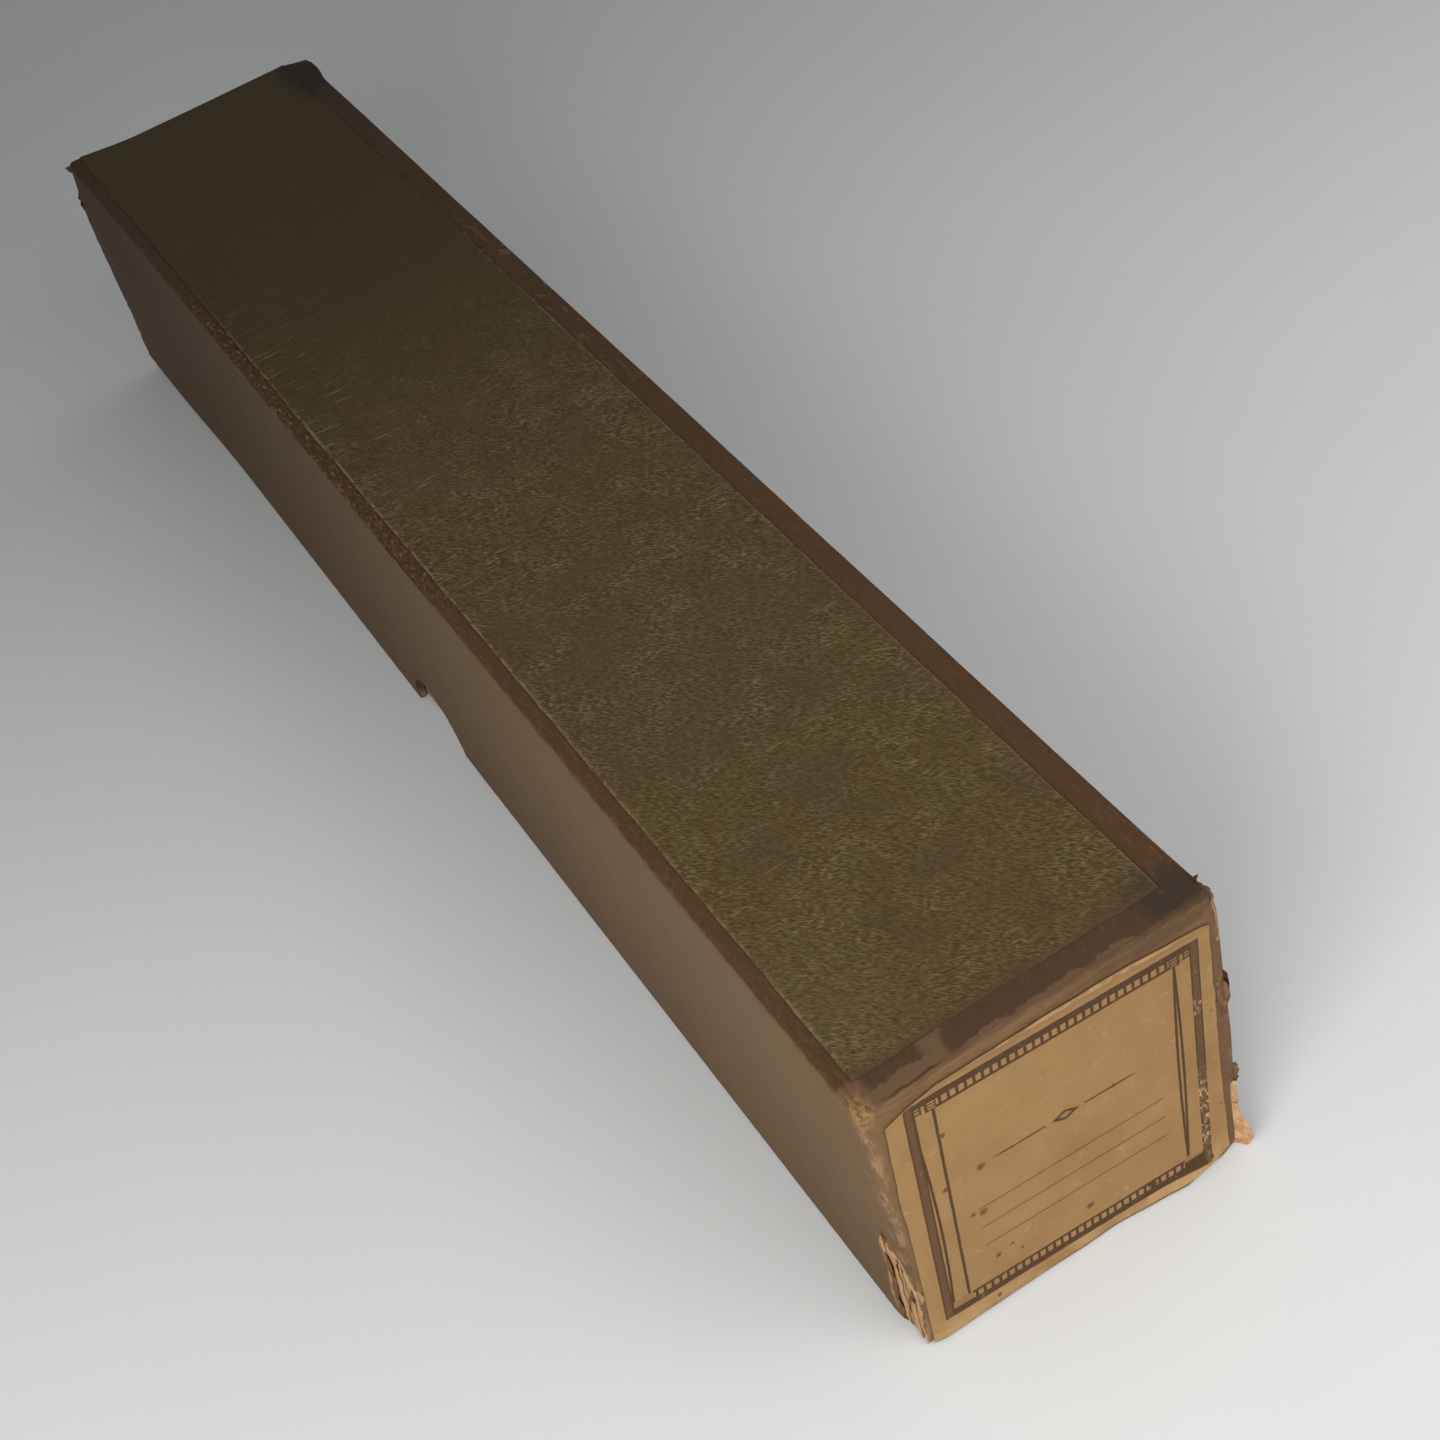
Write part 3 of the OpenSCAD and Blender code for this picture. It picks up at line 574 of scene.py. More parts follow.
def wood():
    m = Finish("plug_wood", 0.62, 0.35)
    radius = m.round(y=0, z=AXIS_Z - 9)
    rings = ((radius + (m.cloud(9, 2, shift=2) - 0.5) * 4) / 2.1).part()
    late = rings.rise(0.55, 0.95) * rings.fall(0.95, 1)
    pores = m.cloud(0.35, 3, 0.6, (14, 1, 1), 5)
    m.ground((190, 148, 96), (156, 108, 62), late)
    m.bump(late * 0.5 + pores * 0.5, 0.08, 0.6)
    return m.done(0.88 + pores * 0.24)


def fibre_board():
    m = Finish("flange_fibre", 0.42, 0.5, Coat_Weight=0.25, Coat_Roughness=0.3)
    radius = m.round(y=0, z=AXIS_Z)
    mottle = m.cloud(1.4, 4, 0.65, shift=2)
    m.ground((62, 36, 24), (96, 60, 40), mottle)
    rim = (radius - 24.3).rise(0, 0.6) * m.cloud(2, 3, 0.7, shift=5).rise(0.4, 0.6)
    m.coat((150, 112, 78), rim * 0.65)
    m.rough(0.38 + mottle * 0.14)
    m.bump(mottle * 0.5 + m.cloud(0.4, 2, shift=9) * 0.5, 0.05, 0.6)
    return m.done()


# Sizes read from the frame

def low_corner(node):
    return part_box(node)[0] * 1000


def high_corner(node):
    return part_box(node)[1] * 1000


HALF_L, HALF_W, TOP = high_corner("lid_side_wrap")
RIM = low_corner("lid_side_wrap").z
LID_WALL = HALF_L - high_corner("lid_top_board").x
LID_INSIDE_TOP = low_corner("lid_top_board").z
AXIS_Z = (low_corner("wound_paper").z + high_corner("wound_paper").z) / 2
NOTCH_X, NOTCH_R = -6, 10.75
CORNER = 1.05
SHOULDER = 0.85
# How far inside the wrap's outer face the board and the stays lie, and how deep the stays sink in the board
BOARD_OUT, STAY_IN, STAY_SUNK = 0.17, 0.155, 0.12
# Below this height a torn sheet keeps its rim's line
RIM_KEPT = 1.2
# Rings less far in than this are on the outside of a box
OUTER_INSET = 1.2
LEAST_RADIUS = 0.22

# Thickness of the papers
WRAP, PANEL, END_LABEL, GUMMED, SCRAP, LEADER_SHEET, TAB = 0.14, 0.17, 0.1, 0.1, 0.13, 0.17, 0.34

# Tear down the near left corner, on the long side: height, then from and to, counted from the labelled end
LEFT_TEAR = [(0, 1.6, 5.2), (1, 0, 6.3), (4, 0, 7.2), (6.8, 0, 7.6), (9.5, 0, 7.3), (11.9, 0, 6.9),
             (15.5, 0.3, 6.6), (18.5, 1.3, 6.8), (20.5, 2.5, 7), (22, 3.8, 6.7), (23.2, 4.6, 6),
             (24.2, 4.9, 5.3)]
# The same tear on the labelled end: height, then its width from the corner
LEFT_TEAR_END = [(0, 0.5), (1.5, 0.3), (6.5, 0.35), (9.4, 0.5), (10.6, 0.3), (11.3, 1.5), (12.6, 1.1),
                 (14.3, 0.7), (15.6, 0.2), (16.2, -1)]
# How far the lid's back wall has pushed out at the labelled end, by height
NEAR_RIGHT_BULGE = [(0, 0), (9, 0.2), (15, 0.6), (20, 0.95), (27, 1.2), (36, 1.1), (42, 0.95), (52, 0.9),
                    (55, 0.8), (57.5, 0.4), (59, 0)]
# How far the lid's far left corner has come away: outwards from the side and outwards from the end, by height
FAR_LEFT_SPLAY = [(0, 1.6, 7), (6, 1.6, 6.4), (12, 1.6, 5.3), (18, 1.6, 4.8), (26, 1.6, 4.6), (38, 1.58, 4),
                  (45, 1.5, 3), (50, 1.2, 1.7), (55, 0.75, 0.9), (59, 0.25, 0.4)]


def ragged_by(x, y, z, coarse, fine, coarse_deep, fine_deep, tall=1):
    """An uneven edge from a coarse and a fine ripple, given by their sizes and depths in mm."""
    return (coarse_deep * wander(x / coarse, y / coarse, z / (coarse * tall))
            + fine_deep * wander(x / fine, y / fine, z / fine))


def left_torn(x, y, z):
    """How far inside the near left tear a point of the lid's surface is, in mm."""
    if z > 26 or x < 150 or y > -20:
        return -1
    rag = ragged_by(x, y, z, 1.1, 0.4, 0.34, 0.16)
    depth = HALF_L - x
    if y < -HALF_W + CORNER and depth > 0.3:
        low, high = along(LEFT_TEAR, z)
        return min(depth - low if low > 0.05 else 9, high - depth) + rag
    return along(LEFT_TEAR_END, z)[0] - (y + HALF_W) + rag


def right_torn(x, y, z):
    """The same for the near right edge, where only small flakes are gone."""
    if x < 150 or y < 20:
        return -1
    rag = ragged_by(x, y, z, 1, 0.4, 0.3, 0.12, 1.2)
    side, end = HALF_L - x, HALF_W - y
    near = max(side, end)
    if z < 16:
        return 2.1 * between(z, 0, 14.2, 1.4) - side * 0.75 - (3 if end > 0.9 else 0) + rag
    if 34 < z < 42:
        return 1.5 * between(z, 36, 40.4, 1.2) - near + rag
    if z > 47:
        return 0.55 * between(z, 49, 58, 1) - near * 0.8 + rag
    return -1


def far_torn(x, y, z):
    """Worn-through spots on the far corners."""
    if x >= -155 or abs(y) <= 20:
        return -1
    rag = 0.3 * wander(x / 1.3, y / 1.3, z / 1.3)
    near = max(HALF_L + x, HALF_W - abs(y))
    if y < 0:
        return 1.2 * between(z, 1, 12, 3) - near - 0.2 + rag
    return 0.8 * between(z, 20, 34, 3) - near * 0.8 + rag


def any_tear(x, y, z):
    return max(left_torn(x, y, z), right_torn(x, y, z), far_torn(x, y, z))


def lid_warp(x, y, z):
    """Dents and bows of the old lid. All its layers go through it, so none comes through another."""
    outer = 1 - clamp(min(HALF_L - abs(x), HALF_W - abs(y), TOP - z) / 1.3)
    # The far left corner has come away, and its top edge is crumpled
    aside, beyond = along(FAR_LEFT_SPLAY, z)
    new_y = y - aside * ease(-x, 104, 162) ** 1.5 * ease(-y, 12, HALF_W)
    new_x = x - beyond * ease(-x, 148, 162) ** 1.4 * ease(-y, -8, HALF_W)
    new_z = z + 3.4 * (1 - ease(z, 0, 18)) * ease(-x, 104, 162) ** 2.2 * ease(-y, 18, HALF_W)
    new_z += 1.1 * ease(z, 48, 59) * ease(-x, 150, 162) * ease(-y, 13, HALF_W)
    serrated = ease(-x, 160.2, 161.4) * ease(-y, 27.6, 28.4) * (1 - ease(z, 56, 58.5))
    new_y += 0.34 * serrated * max(0, wander(z / 1.3, 3, 1) + 0.15)
    # The far right corner is crushed
    crush = 1 - ease(math.dist((x, y, z), (-HALF_L, HALF_W, TOP)), 0.4, 5)
    new_z -= 0.8 * crush
    new_x += 0.3 * crush
    new_y += 0.9 * ease(-x, 148, 155) * ease(y, 25, 28.5) * ease(z, 48, 56)
    # The near right corner is rumpled, its wall bulges and its rim flares
    rumple = 1 - ease(math.dist((x, y, z), (HALF_L, HALF_W, TOP)), 0.5, 7)
    new_x += 0.3 * rumple * wander(x / 1.7, y / 1.7, z / 1.7)
    new_y += 0.35 * rumple * wander(x / 1.5, y / 1.5 + 7, z / 1.5)
    new_z += 0.3 * rumple * (wander(x / 1.9 + 5, y / 1.9, z / 1.9) - 0.2)
    new_y += ease(x, 128, 162) * ease(y, 27.3, 28.6) * along(NEAR_RIGHT_BULGE, z)[0]
    new_x += 0.9 * ease(x, 158.5, 161.8) * ease(y, 4, 17) * (1 - ease(y, 24.5, 28)) * (1 - ease(z, 0.3, 2.6))
    # The near left corner is dished and nipped
    new_y += 0.85 * ease(x, 153.5, 161.8) * ease(-y, 24, HALF_W) * between(z, 3, 27, 13) * outer
    new_x -= 0.45 * ease(x, 158.5, 162) * ease(-y, 25.5, HALF_W) * between(z, 2, 22, 10) * outer
    # Slack walls, top and rim
    bow = ease(abs(y), 20, 28) * ease(z, 3, 20) * (1 - ease(z, 40, 57))
    new_y -= math.copysign(0.14 * bow * (1 + wander(x / 55, y, z / 40)), y)
    new_z += 0.14 * ease(z, 48, 57) * wander(x / 42, y / 26, 2)
    new_z += 0.12 * ease(z, 56.5, 58.5) * ease(abs(y), 26, 28) * wander(x / 5.5, y / 9, 7)
    new_z += 0.16 * (1 - ease(z, 1, 12)) * wander(x / 30, y / 22, 9)
    return new_x, new_y, new_z


# Mesh making

def link(name, points, faces):
    """A new object from points in mm."""
    mesh = bpy.data.meshes.new(name)
    mesh.from_pydata([(x * MM, y * MM, z * MM) for x, y, z in points], [], faces)
    mesh.update()
    piece = bpy.data.objects.new(name, mesh)
    bpy.context.scene.collection.objects.link(piece)
    return piece


def settle(piece, warp, sharp):
    """Applies a piece's modifiers, moves its points through the warp, and shades it by angle."""
    bpy.context.view_layer.update()
    graph = bpy.context.evaluated_depsgraph_get()
    mesh = bpy.data.meshes.new_from_object(piece.evaluated_get(graph))
    piece.modifiers.clear()
    old, piece.data = piece.data, mesh
    bpy.data.meshes.remove(old)
    mesh.name = piece.name
    if warp:
        for vertex in mesh.vertices:
            x, y, z = warp(*(vertex.co * 1000))
            vertex.co = (x * MM, y * MM, z * MM)
    mesh.polygons.foreach_set("use_smooth", [True] * len(mesh.polygons))
    mesh.set_sharp_from_angle(angle=math.radians(sharp))
    mesh.update()


def put(name, shape, materials, body, replaces=(), sharp=0, warp=None, thick=0, offset=-1, frayed=False,
        cutter=None):
    """Makes a piece from its (points, faces), and ties it to the body that carries it.

    thick gives a sheet its thickness in mm, with the second material on its edges, and offset says to which
    side. warp moves its points, and edges stay sharp from an angle of sharp degrees.
    """
    piece = link(name, *shape)
    for material in materials:
        piece.data.materials.append(material)
    piece.data.polygons.foreach_set("use_smooth", [True] * len(piece.data.polygons))
    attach(piece, body)
    if replaces:
        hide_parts(*replaces)
    if frayed:
        smooth_tears(piece.data)
    if thick:
        layer = piece.modifiers.new("paper", "SOLIDIFY")
        layer.thickness, layer.offset = thick * MM, offset
        layer.use_even_offset = False
        layer.material_offset_rim = len(materials) - 1
    if cutter:
        cut = piece.modifiers.new("cut", "BOOLEAN")
        cut.operation, cut.solver, cut.object = "DIFFERENCE", "EXACT", cutter
    if sharp:
        settle(piece, warp, sharp)


def smooth_tears(mesh):
    """Softens the stepped outline that left-out faces give a torn sheet. The rim keeps its line."""
    uses = {}
    for polygon in mesh.polygons:
        for key in polygon.edge_keys:
            uses[key] = uses.get(key, 0) + 1
    beside = {}
    for (a, b), count in uses.items():
        if count == 1:
            beside.setdefault(a, []).append(b)
            beside.setdefault(b, []).append(a)
    for _ in range(3):
        moved = {}
        for v, others in beside.items():
            co = mesh.vertices[v].co
            if len(others) == 2 and co.z >= RIM_KEPT * MM:
                moved[v] = co.lerp((mesh.vertices[others[0]].co + mesh.vertices[others[1]].co) / 2, 0.45)
        for v, co in moved.items():
            mesh.vertices[v].co = co


def bend(cx, cy, rx, ry, angles):
    """Points round a centre at angles in degrees, by a radius along each axis."""
    return [(cx + rx * math.cos(math.radians(a)), cy + ry * math.sin(math.radians(a))) for a in angles]


def offset(x, y, *pairs):
    return [(x + a, y + b) for a, b in pairs]


def flipped(points, faces):
    return points, [face[::-1] for face in faces]


def prism(name, outline, low, high, place):
    """A closed block to cut with: an outline pushed from low to high, with points place(a, b, height)."""
    n = len(outline)
    points = [place(a, b, h) for h in (low, high) for a, b in outline]
    faces = [(i, (i + 1) % n, n + (i + 1) % n, n + i) for i in range(n)]
    return link(name, points, faces + [tuple(range(n))[::-1], tuple(range(n, 2 * n))])


def stops(low_fine, low_run, high_fine, high_run, coarse, length):
    """Places from -1 to 1 along a side, close together near both ends."""
    def from_end(fine, run):
        out, step = [0], fine
        while out[-1] < length / 2:
            out.append(out[-1] + step)
            if out[-1] > run:
                step = min(step * 1.28, coarse)
        return [v * (length / 2) / out[-1] for v in out]
    low = [-1 + 2 * v / length for v in from_end(low_fine, low_run)]
    high = [1 - 2 * v / length for v in from_end(high_fine, high_run)]
    return low + high[-2::-1]


def box_ring(half_l, half_w, radius, long_stops, end_stops):
    """Points round a rounded rectangle, counter-clockwise from its front left corner."""
    cx, cy = half_l - radius, half_w - radius

    def arc(x, y, start):
        return bend(x, y, radius, radius, [start + 90 * i / 7 for i in range(1, 7)])

    return ([(s * cx, -half_w) for s in long_stops] + arc(cx, -cy, -90)
            + [(half_l, s * cy) for s in end_stops] + arc(cx, cy, 0)
            + [(s * cx, half_w) for s in reversed(long_stops)] + arc(-cx, cy, 90)
            + [(-half_l, -s * cy) for s in end_stops] + arc(-cx, -cy, 180))


def sweep(half_l, half_w, radius, profile, side_stops, torn=None, press=None, closed=True):
    """Rings of a box's surface along a profile of (inset, z). Faces inside a tear are left out."""
    points, faces = [], []
    for inset, z in profile:
        ring = box_ring(half_l - inset, half_w - inset, max(radius - inset, LEAST_RADIUS), *side_stops)
        points += [(*(press(x, y, z, inset) if press else (x, y)), z) for x, y in ring]
    count = len(ring)
    for i in range(len(profile) - 1):
        for j in range(count):
            k = (j + 1) % count
            face = (i * count + j, i * count + k, (i + 1) * count + k, (i + 1) * count + j)
            if torn and profile[i][0] < OUTER_INSET and torn(*middle(points, face)) > 0:
                continue
            faces.append(face)
    if closed:
        faces += [tuple(range(count))[::-1], tuple(range(len(points) - count, len(points)))]
    return points, faces


def middle(points, face):
    return [sum(points[n][axis] for n in face) / 4 for axis in range(3)]


def full_circle(turns):
    return [360 * i / turns for i in range(turns)]


def lathe(profile, side=1, turns=96, y=0, z=None, closed=True):
    """A surface of revolution from (along, radius) pairs. Its axis is X, or -X with side -1."""
    z = AXIS_Z if z is None else z
    n = len(profile)
    points = [(side * distance, y + side * b * radius, z + a * radius)
              for a, b in bend(0, 0, 1, 1, full_circle(turns)) for distance, radius in profile]
    faces = []
    for i in range(turns):
        ring, after = i * n, (i + 1) % turns * n
        for j in range(n if closed else n - 1):
            k = (j + 1) % n
            faces.append((ring + j, ring + k, after + k, after + j))
    return points, faces


def sheet(place, rows, columns):
    """A grid of points place(u, v), u and v from 0 to 1, and its faces."""
    points = [place(i / rows, j / columns) for i in range(rows + 1) for j in range(columns + 1)]
    wide = columns + 1
    corners = [i * wide + j for i in range(rows) for j in range(columns)]
    return points, [(a, a + 1, a + wide + 1, a + wide) for a in corners]


# All the materials

OLIVE, OLIVE_EDGE = olive_grained(), panel_edge()
BROWN, TORN = brown_wrap(), paper_edge()
STRAW, STAY, PULP = strawboard(), stay_paper(), orange_pulp()
FOLD = torn_sheet("dark_torn_fold", (52, 35, 24), (84, 58, 40))
FLAP = torn_sheet("torn_brown_flap", (90, 62, 42), (130, 100, 70), 0.8)
RUST = torn_sheet("torn_wrap_back", (80, 50, 32), (134, 94, 64))
LABEL = label_paper()
TRAY_PAPER = plain_paper("tray_paper", (176, 172, 160), (204, 200, 188), (4, 1, 1), notch_shaded=True)
LEADER = plain_paper("leader_paper", (186, 164, 122), (206, 186, 146), (1, 4, 1))
CORE = plain_paper("core_board", (150, 122, 80), (176, 148, 102), (5, 1, 1), 0.82)
MUSIC, LINEN, WOOD, FIBRE = wound_edges(), linen(), wood(), fibre_board()
BRASS = metal("eyelet_brass", (150, 112, 52), (196, 156, 84), 0.38)
STEEL = metal("plate_steel", (140, 138, 132), (182, 180, 174), 0.4, 0.6, (1, 1, 5))
NAIL = metal("nail_steel", (104, 100, 94), (140, 136, 128), 0.45, 0.7)

# The lid's wrap: up the inside, round the rim, up the walls and over the top

lid_stops = (stops(0.6, 5, 0.36, 9.5, 4.2, 2 * HALF_L), stops(0.36, 2.6, 0.36, 2.6, 2.2, 2 * HALF_W))
# Rings lie close together where the wrap is torn
walls, height = [], 1.1
while height < TOP - SHOULDER - 0.5:
    walls.append((0, height))
    height += 0.45 if height < 26 else 0.8 if height < 42 else 1.5
wrap_profile = ([(1.5, height) for height in (10.55, 8, 5, 3, 1.6, 1.1)]
                + bend(0.75, RIM + 0.7, 0.75, -0.7, range(15, 180, 15)) + walls + [(0, TOP - SHOULDER)]
                + bend(SHOULDER, TOP - SHOULDER, -SHOULDER, SHOULDER, range(12, 91, 13))
                + [(inset, TOP) for inset in (1.2, 1.8, 2.6, 3.6, 5, 7, 9.5, 12)])
notch_ring = bend(NOTCH_X, RIM, NOTCH_R, -NOTCH_R, full_circle(128))
notch_cutter = prism("notch_cutter", notch_ring, -40, 40, lambda x, z, y: (x, y, z))
put("lid_paper_wrap", sweep(HALF_L, HALF_W, CORNER, wrap_profile, lid_stops, any_tear, closed=False),
    [BROWN, TORN], "lid", ["lid_side_wrap"], 38, lid_warp, WRAP, frayed=True,
    cutter=notch_cutter)


# The folded boards and their gummed stays

def board_press(half_l, half_w):
    """Sinks a board's outer face at its upright corners, where the gummed stays lie in it."""
    def press(x, y, z, inset):
        beside, ahead = half_l - abs(x), half_w - abs(y)
        if inset <= 0.6 and max(beside, ahead) < 9.2:
            x -= math.copysign(STAY_SUNK if beside < 1 else 0, x)
            y -= math.copysign(STAY_SUNK if ahead < 1 else 0, y)
        return x, y
    return press


def board_profile(wall_in, rim_at, low_z, floor_z, sign):
    """Section of a folded box board, from the middle of its inner face round the rim to the outer middle.

    sign is 1 for a tray, whose walls stand up from its floor, and -1 for a lid.
    """
    insets = [28.4, 20, 10, 4, wall_in + 0.6]
    limit = rim_at - sign * 0.4
    heights = [floor_z + sign * up for up in (0.8, 3, 8, 16, 26, 36, 44, 50)]
    heights = [h for h in heights if (h - limit) * sign < 0]
    middle_in, half = (wall_in + BOARD_OUT) / 2, (wall_in - BOARD_OUT) / 2
    return ([(inset, floor_z) for inset in insets] + [(wall_in, h) for h in [floor_z] + heights]
            + bend(middle_in, limit, half, sign * 0.4, range(0, 181, 30))
            + [(BOARD_OUT, h) for h in reversed(heights)]
            + bend(BOARD_OUT + 0.7, low_z + sign * 0.7, -0.7, -sign * 0.7, range(0, 91, 18))
            + [(inset, low_z) for inset in reversed(insets)])


def fine_board(profile):
    """Adds rings to the outer wall where tears show the board."""
    out = []
    for (a, low), (b, high) in zip(profile, profile[1:]):
        out.append((a, low))
        if max(abs(a - BOARD_OUT), abs(b - BOARD_OUT)) < 1e-6:
            steps = max(1, int(abs(high - low) / (0.7 if min(low, high) < 27 else 2.5)))
            out += [(a, low + (high - low) * i / steps) for i in range(1, steps)]
    return out + profile[-1:]


def pulp(x, y, z, inset):
    """Board in the near left tear, split into raised and sunken flakes."""
    x, y = board_press(HALF_L, HALF_W)(x, y, z, inset)
    if left_torn(x, y - 0.17, z) > -0.5 and inset < 0.6:
        lift = 0.22 * wander(x / 1.3, 4, z / 3.4) + 0.12 * wander(x / 0.5, 9, z / 1.2)
        if y < -27:
            y -= lift - 0.1
        if x > 161:
            x += lift * 0.6
    return x, y


def stays(half_l, half_w, radius, low, high, torn=None):
    """Gummed paper round each upright corner, under the outer paper."""
    points, faces = [], []
    rows, inset = 44, STAY_IN
    legs = [leg for leg in (9, 7.5, 6, 4.5, 3, 2.2, 1.5, 0.9, 0.45) if leg > radius]
    path = [(half_l - leg, half_w - inset) for leg in legs]
    path += bend(half_l - radius, half_w - radius, radius - inset, radius - inset, range(90, -1, -15))
    path += [(half_l - inset, half_w - leg) for leg in reversed(legs)]
    n = len(path)
    for sx, sy in ((-1, -1), (-1, 1), (1, -1), (1, 1)):
        start = len(points)
        points += [(sx * x, sy * y, low + (high - low) * i / rows) for i in range(rows + 1) for x, y in path]
        for a in (start + i * n + j for i in range(rows) for j in range(n - 1)):
            face = (a, a + 1, a + n + 1, a + n)[::-sx * sy]
            x, y, z = middle(points, face)
            if not torn or torn(x, y, z) <= 0.7 + 0.9 * wander(x * 0.9, y, z * 0.5):
                faces.append(face)
    return points, faces


def boards_of(box):
    return [box + "_%s_board" % side for side in ("top", "front", "back", "left", "right")]


profile = fine_board(board_profile(LID_WALL, RIM + 0.18, TOP - 0.16, LID_INSIDE_TOP, -1))
put("lid_strawboard", sweep(HALF_L, HALF_W, CORNER, profile, lid_stops, press=pulp), [STRAW], "lid",
    boards_of("lid"), 38, lid_warp, cutter=notch_cutter)
put("lid_gummed_stays", stays(HALF_L, HALF_W, CORNER, RIM + 1.7, TOP - 1.8, any_tear), [STAY], "lid",
    ["lid_corner_stays"], 38, lid_warp, GUMMED, frayed=True)

# Grained panel on the top, bent down over the far edge

panel_low, panel_high = low_corner("lid_top_panel"), high_corner("lid_top_panel")
PANEL_MID, PANEL_HALF = (panel_low.y + panel_high.y) / 2, (panel_high.y - panel_low.y) / 2
PANEL_UP = panel_high.z - TOP
BEND_X = -HALF_L + SHOULDER


def panel_point(s, t):
    """s runs from the far end (-1) to the labelled end (1), t across the lid."""
    far, near = -HALF_L - 0.55, panel_high.x
    run = (far + near) / 2 + s * (near - far) / 2
    y = PANEL_MID + t * PANEL_HALF
    y += (0.16 * wander(run / 6, 3) + 0.07 * wander(run / 0.8, 8)) * t ** 9
    run += (0.25 * wander(y / 5, 5) + 0.1 * wander(y / 0.9, 2)) * max(s, 0) ** 24
    up = PANEL_UP - 0.09 * ease(HALF_W - abs(y), 11.6, 12.6) * ease(HALF_L - abs(run), 11.6, 12.6)
    up += 0.05 * (wander(run / 9, y / 7, 4) + 1) * ease(abs(t), 0.9, 1)
    if run < BEND_X:
        angle = (BEND_X - run) / (SHOULDER + PANEL_UP)
        reach = SHOULDER + up
        return BEND_X - reach * math.sin(angle), y, TOP - SHOULDER + reach * math.cos(angle)
    return run, y, TOP + up


panel_stops = stops(0.5, 3, 0.4, 3, 3.2, 2 * HALF_L)
panel_rows = stops(0.4, 1.6, 0.4, 1.6, 2.2, 2 * PANEL_HALF)
n = len(panel_rows)
points = [panel_point(s, t) for s in panel_stops for t in panel_rows]
faces = [(i * n + j, (i + 1) * n + j, (i + 1) * n + j + 1, i * n + j + 1)
         for i in range(len(panel_stops) - 1) for j in range(n - 1)]
put("lid_olive_panel", (points, faces), [OLIVE, OLIVE_EDGE], "lid", ["lid_top_panel"],
    50, lid_warp, PANEL)

# Label: its lower and upper edges by share of its width, its left and right edges by height

LABEL_LOW = [(0, 0.75), (0.6, 0.5), (0.84, 0.4), (0.88, 0.85), (0.94, 1.4), (1, 1.9)]
LABEL_HIGH = [(0, 54), (0.07, 55.4), (0.16, 56.4), (0.3, 56.4), (0.5, 56.25), (0.68, 56), (0.8, 55.3),
              (0.9, 54.8), (1, 53.9)]
LABEL_SIDES = [(0, 0.95, 55.4), (27, 1.75, 55.7), (54, 3.1, 56.1), (60, 3.3, 56.1)]


def label_point(t, s):
    low, high = along(LABEL_LOW, s)[0], along(LABEL_HIGH, s)[0]
    z = low + (high - low) * t
    left, right = along(LABEL_SIDES, z)
    across = left + (right - left) * s
    across += (0.12 * wander(z / 3.5, 2) + 0.05 * wander(z / 0.7, 6)) * (2 * s - 1) ** 15
    z += (0.12 * wander(across / 4, 9) + 0.05 * wander(across / 0.8, 4)) * (2 * t - 1) ** 15
    y, z = across - HALF_W, max(z, RIM + 0.05)
    over = clamp(abs(y) - (HALF_W - CORNER), 0, CORNER)
    x = HALF_L - CORNER + math.sqrt(CORNER ** 2 - over ** 2)
    if z < RIM + 0.7:
        x -= 0.12 * (1 - (z - RIM) / 0.7)
    lift = 0.03 + 0.05 * (wander(across / 7, z / 9, 3) + 1) * 0.5
    lift += 0.22 * ease(0.035 - t, 0, 0.035) * (0.5 + 0.5 * wander(across / 6, 1))
    lift += 0.14 * ease(t, 0.975, 1) * (0.6 + 0.4 * wander(across / 5, 7))
    lift += 0.1 * ease(s, 0.985, 1)
    lift += 0.3 * between(s, 0.84, 0.93, 0.07) * ease(0.04 - t, 0, 0.04)
    return x + lift + 0.1, y, z


put("end_label", flipped(*sheet(label_point, 96, 84)), [LABEL, TORN], "lid", ["lid_end_label"],
    50, lid_warp, END_LABEL)


# Torn scraps. Each is a small curled sheet that leaves the lid along a line on its surface

def scrap(foot, lean, width, length, curl, seed, ragged=0.35, columns=14, rows=10):
    """foot(v) is a point of the line that the scrap leaves from, lean its first direction, curl its turn."""
    lean = Vector(lean).normalized()

    def place(u, v):
        ahead = (Vector(foot(min(v + 0.05, 1))) - Vector(foot(max(v - 0.05, 0)))).normalized()
        away = ahead.cross(lean).normalized()
        trim = 1 + ragged * wander(v * 5 + seed, seed) + ragged * 0.5 * wander(v * 17 + seed, seed + 3)
        reach = length * width(v) * trim * u
        angle = curl * u * (1 + 0.4 * wander(v * 3 + seed, 8))
        step = lean * reach
        if abs(angle) >= 1e-4:
            step = lean * (math.sin(angle) / angle * reach) + away * ((1 - math.cos(angle)) / angle * reach)
        return tuple(Vector(foot(v)) + step + away * 0.12 * wander(u * 3 + seed, v * 6, seed))

    return sheet(place, rows, columns)


def upright(x, y, low, high):
    return lambda v: (x, y, low + (high - low) * v)


def hump(v):
    return math.sin(math.pi * clamp(v, 0.02, 0.98)) ** 0.5


RIGHT, LEFT, FAR = HALF_W, -HALF_W, -HALF_L
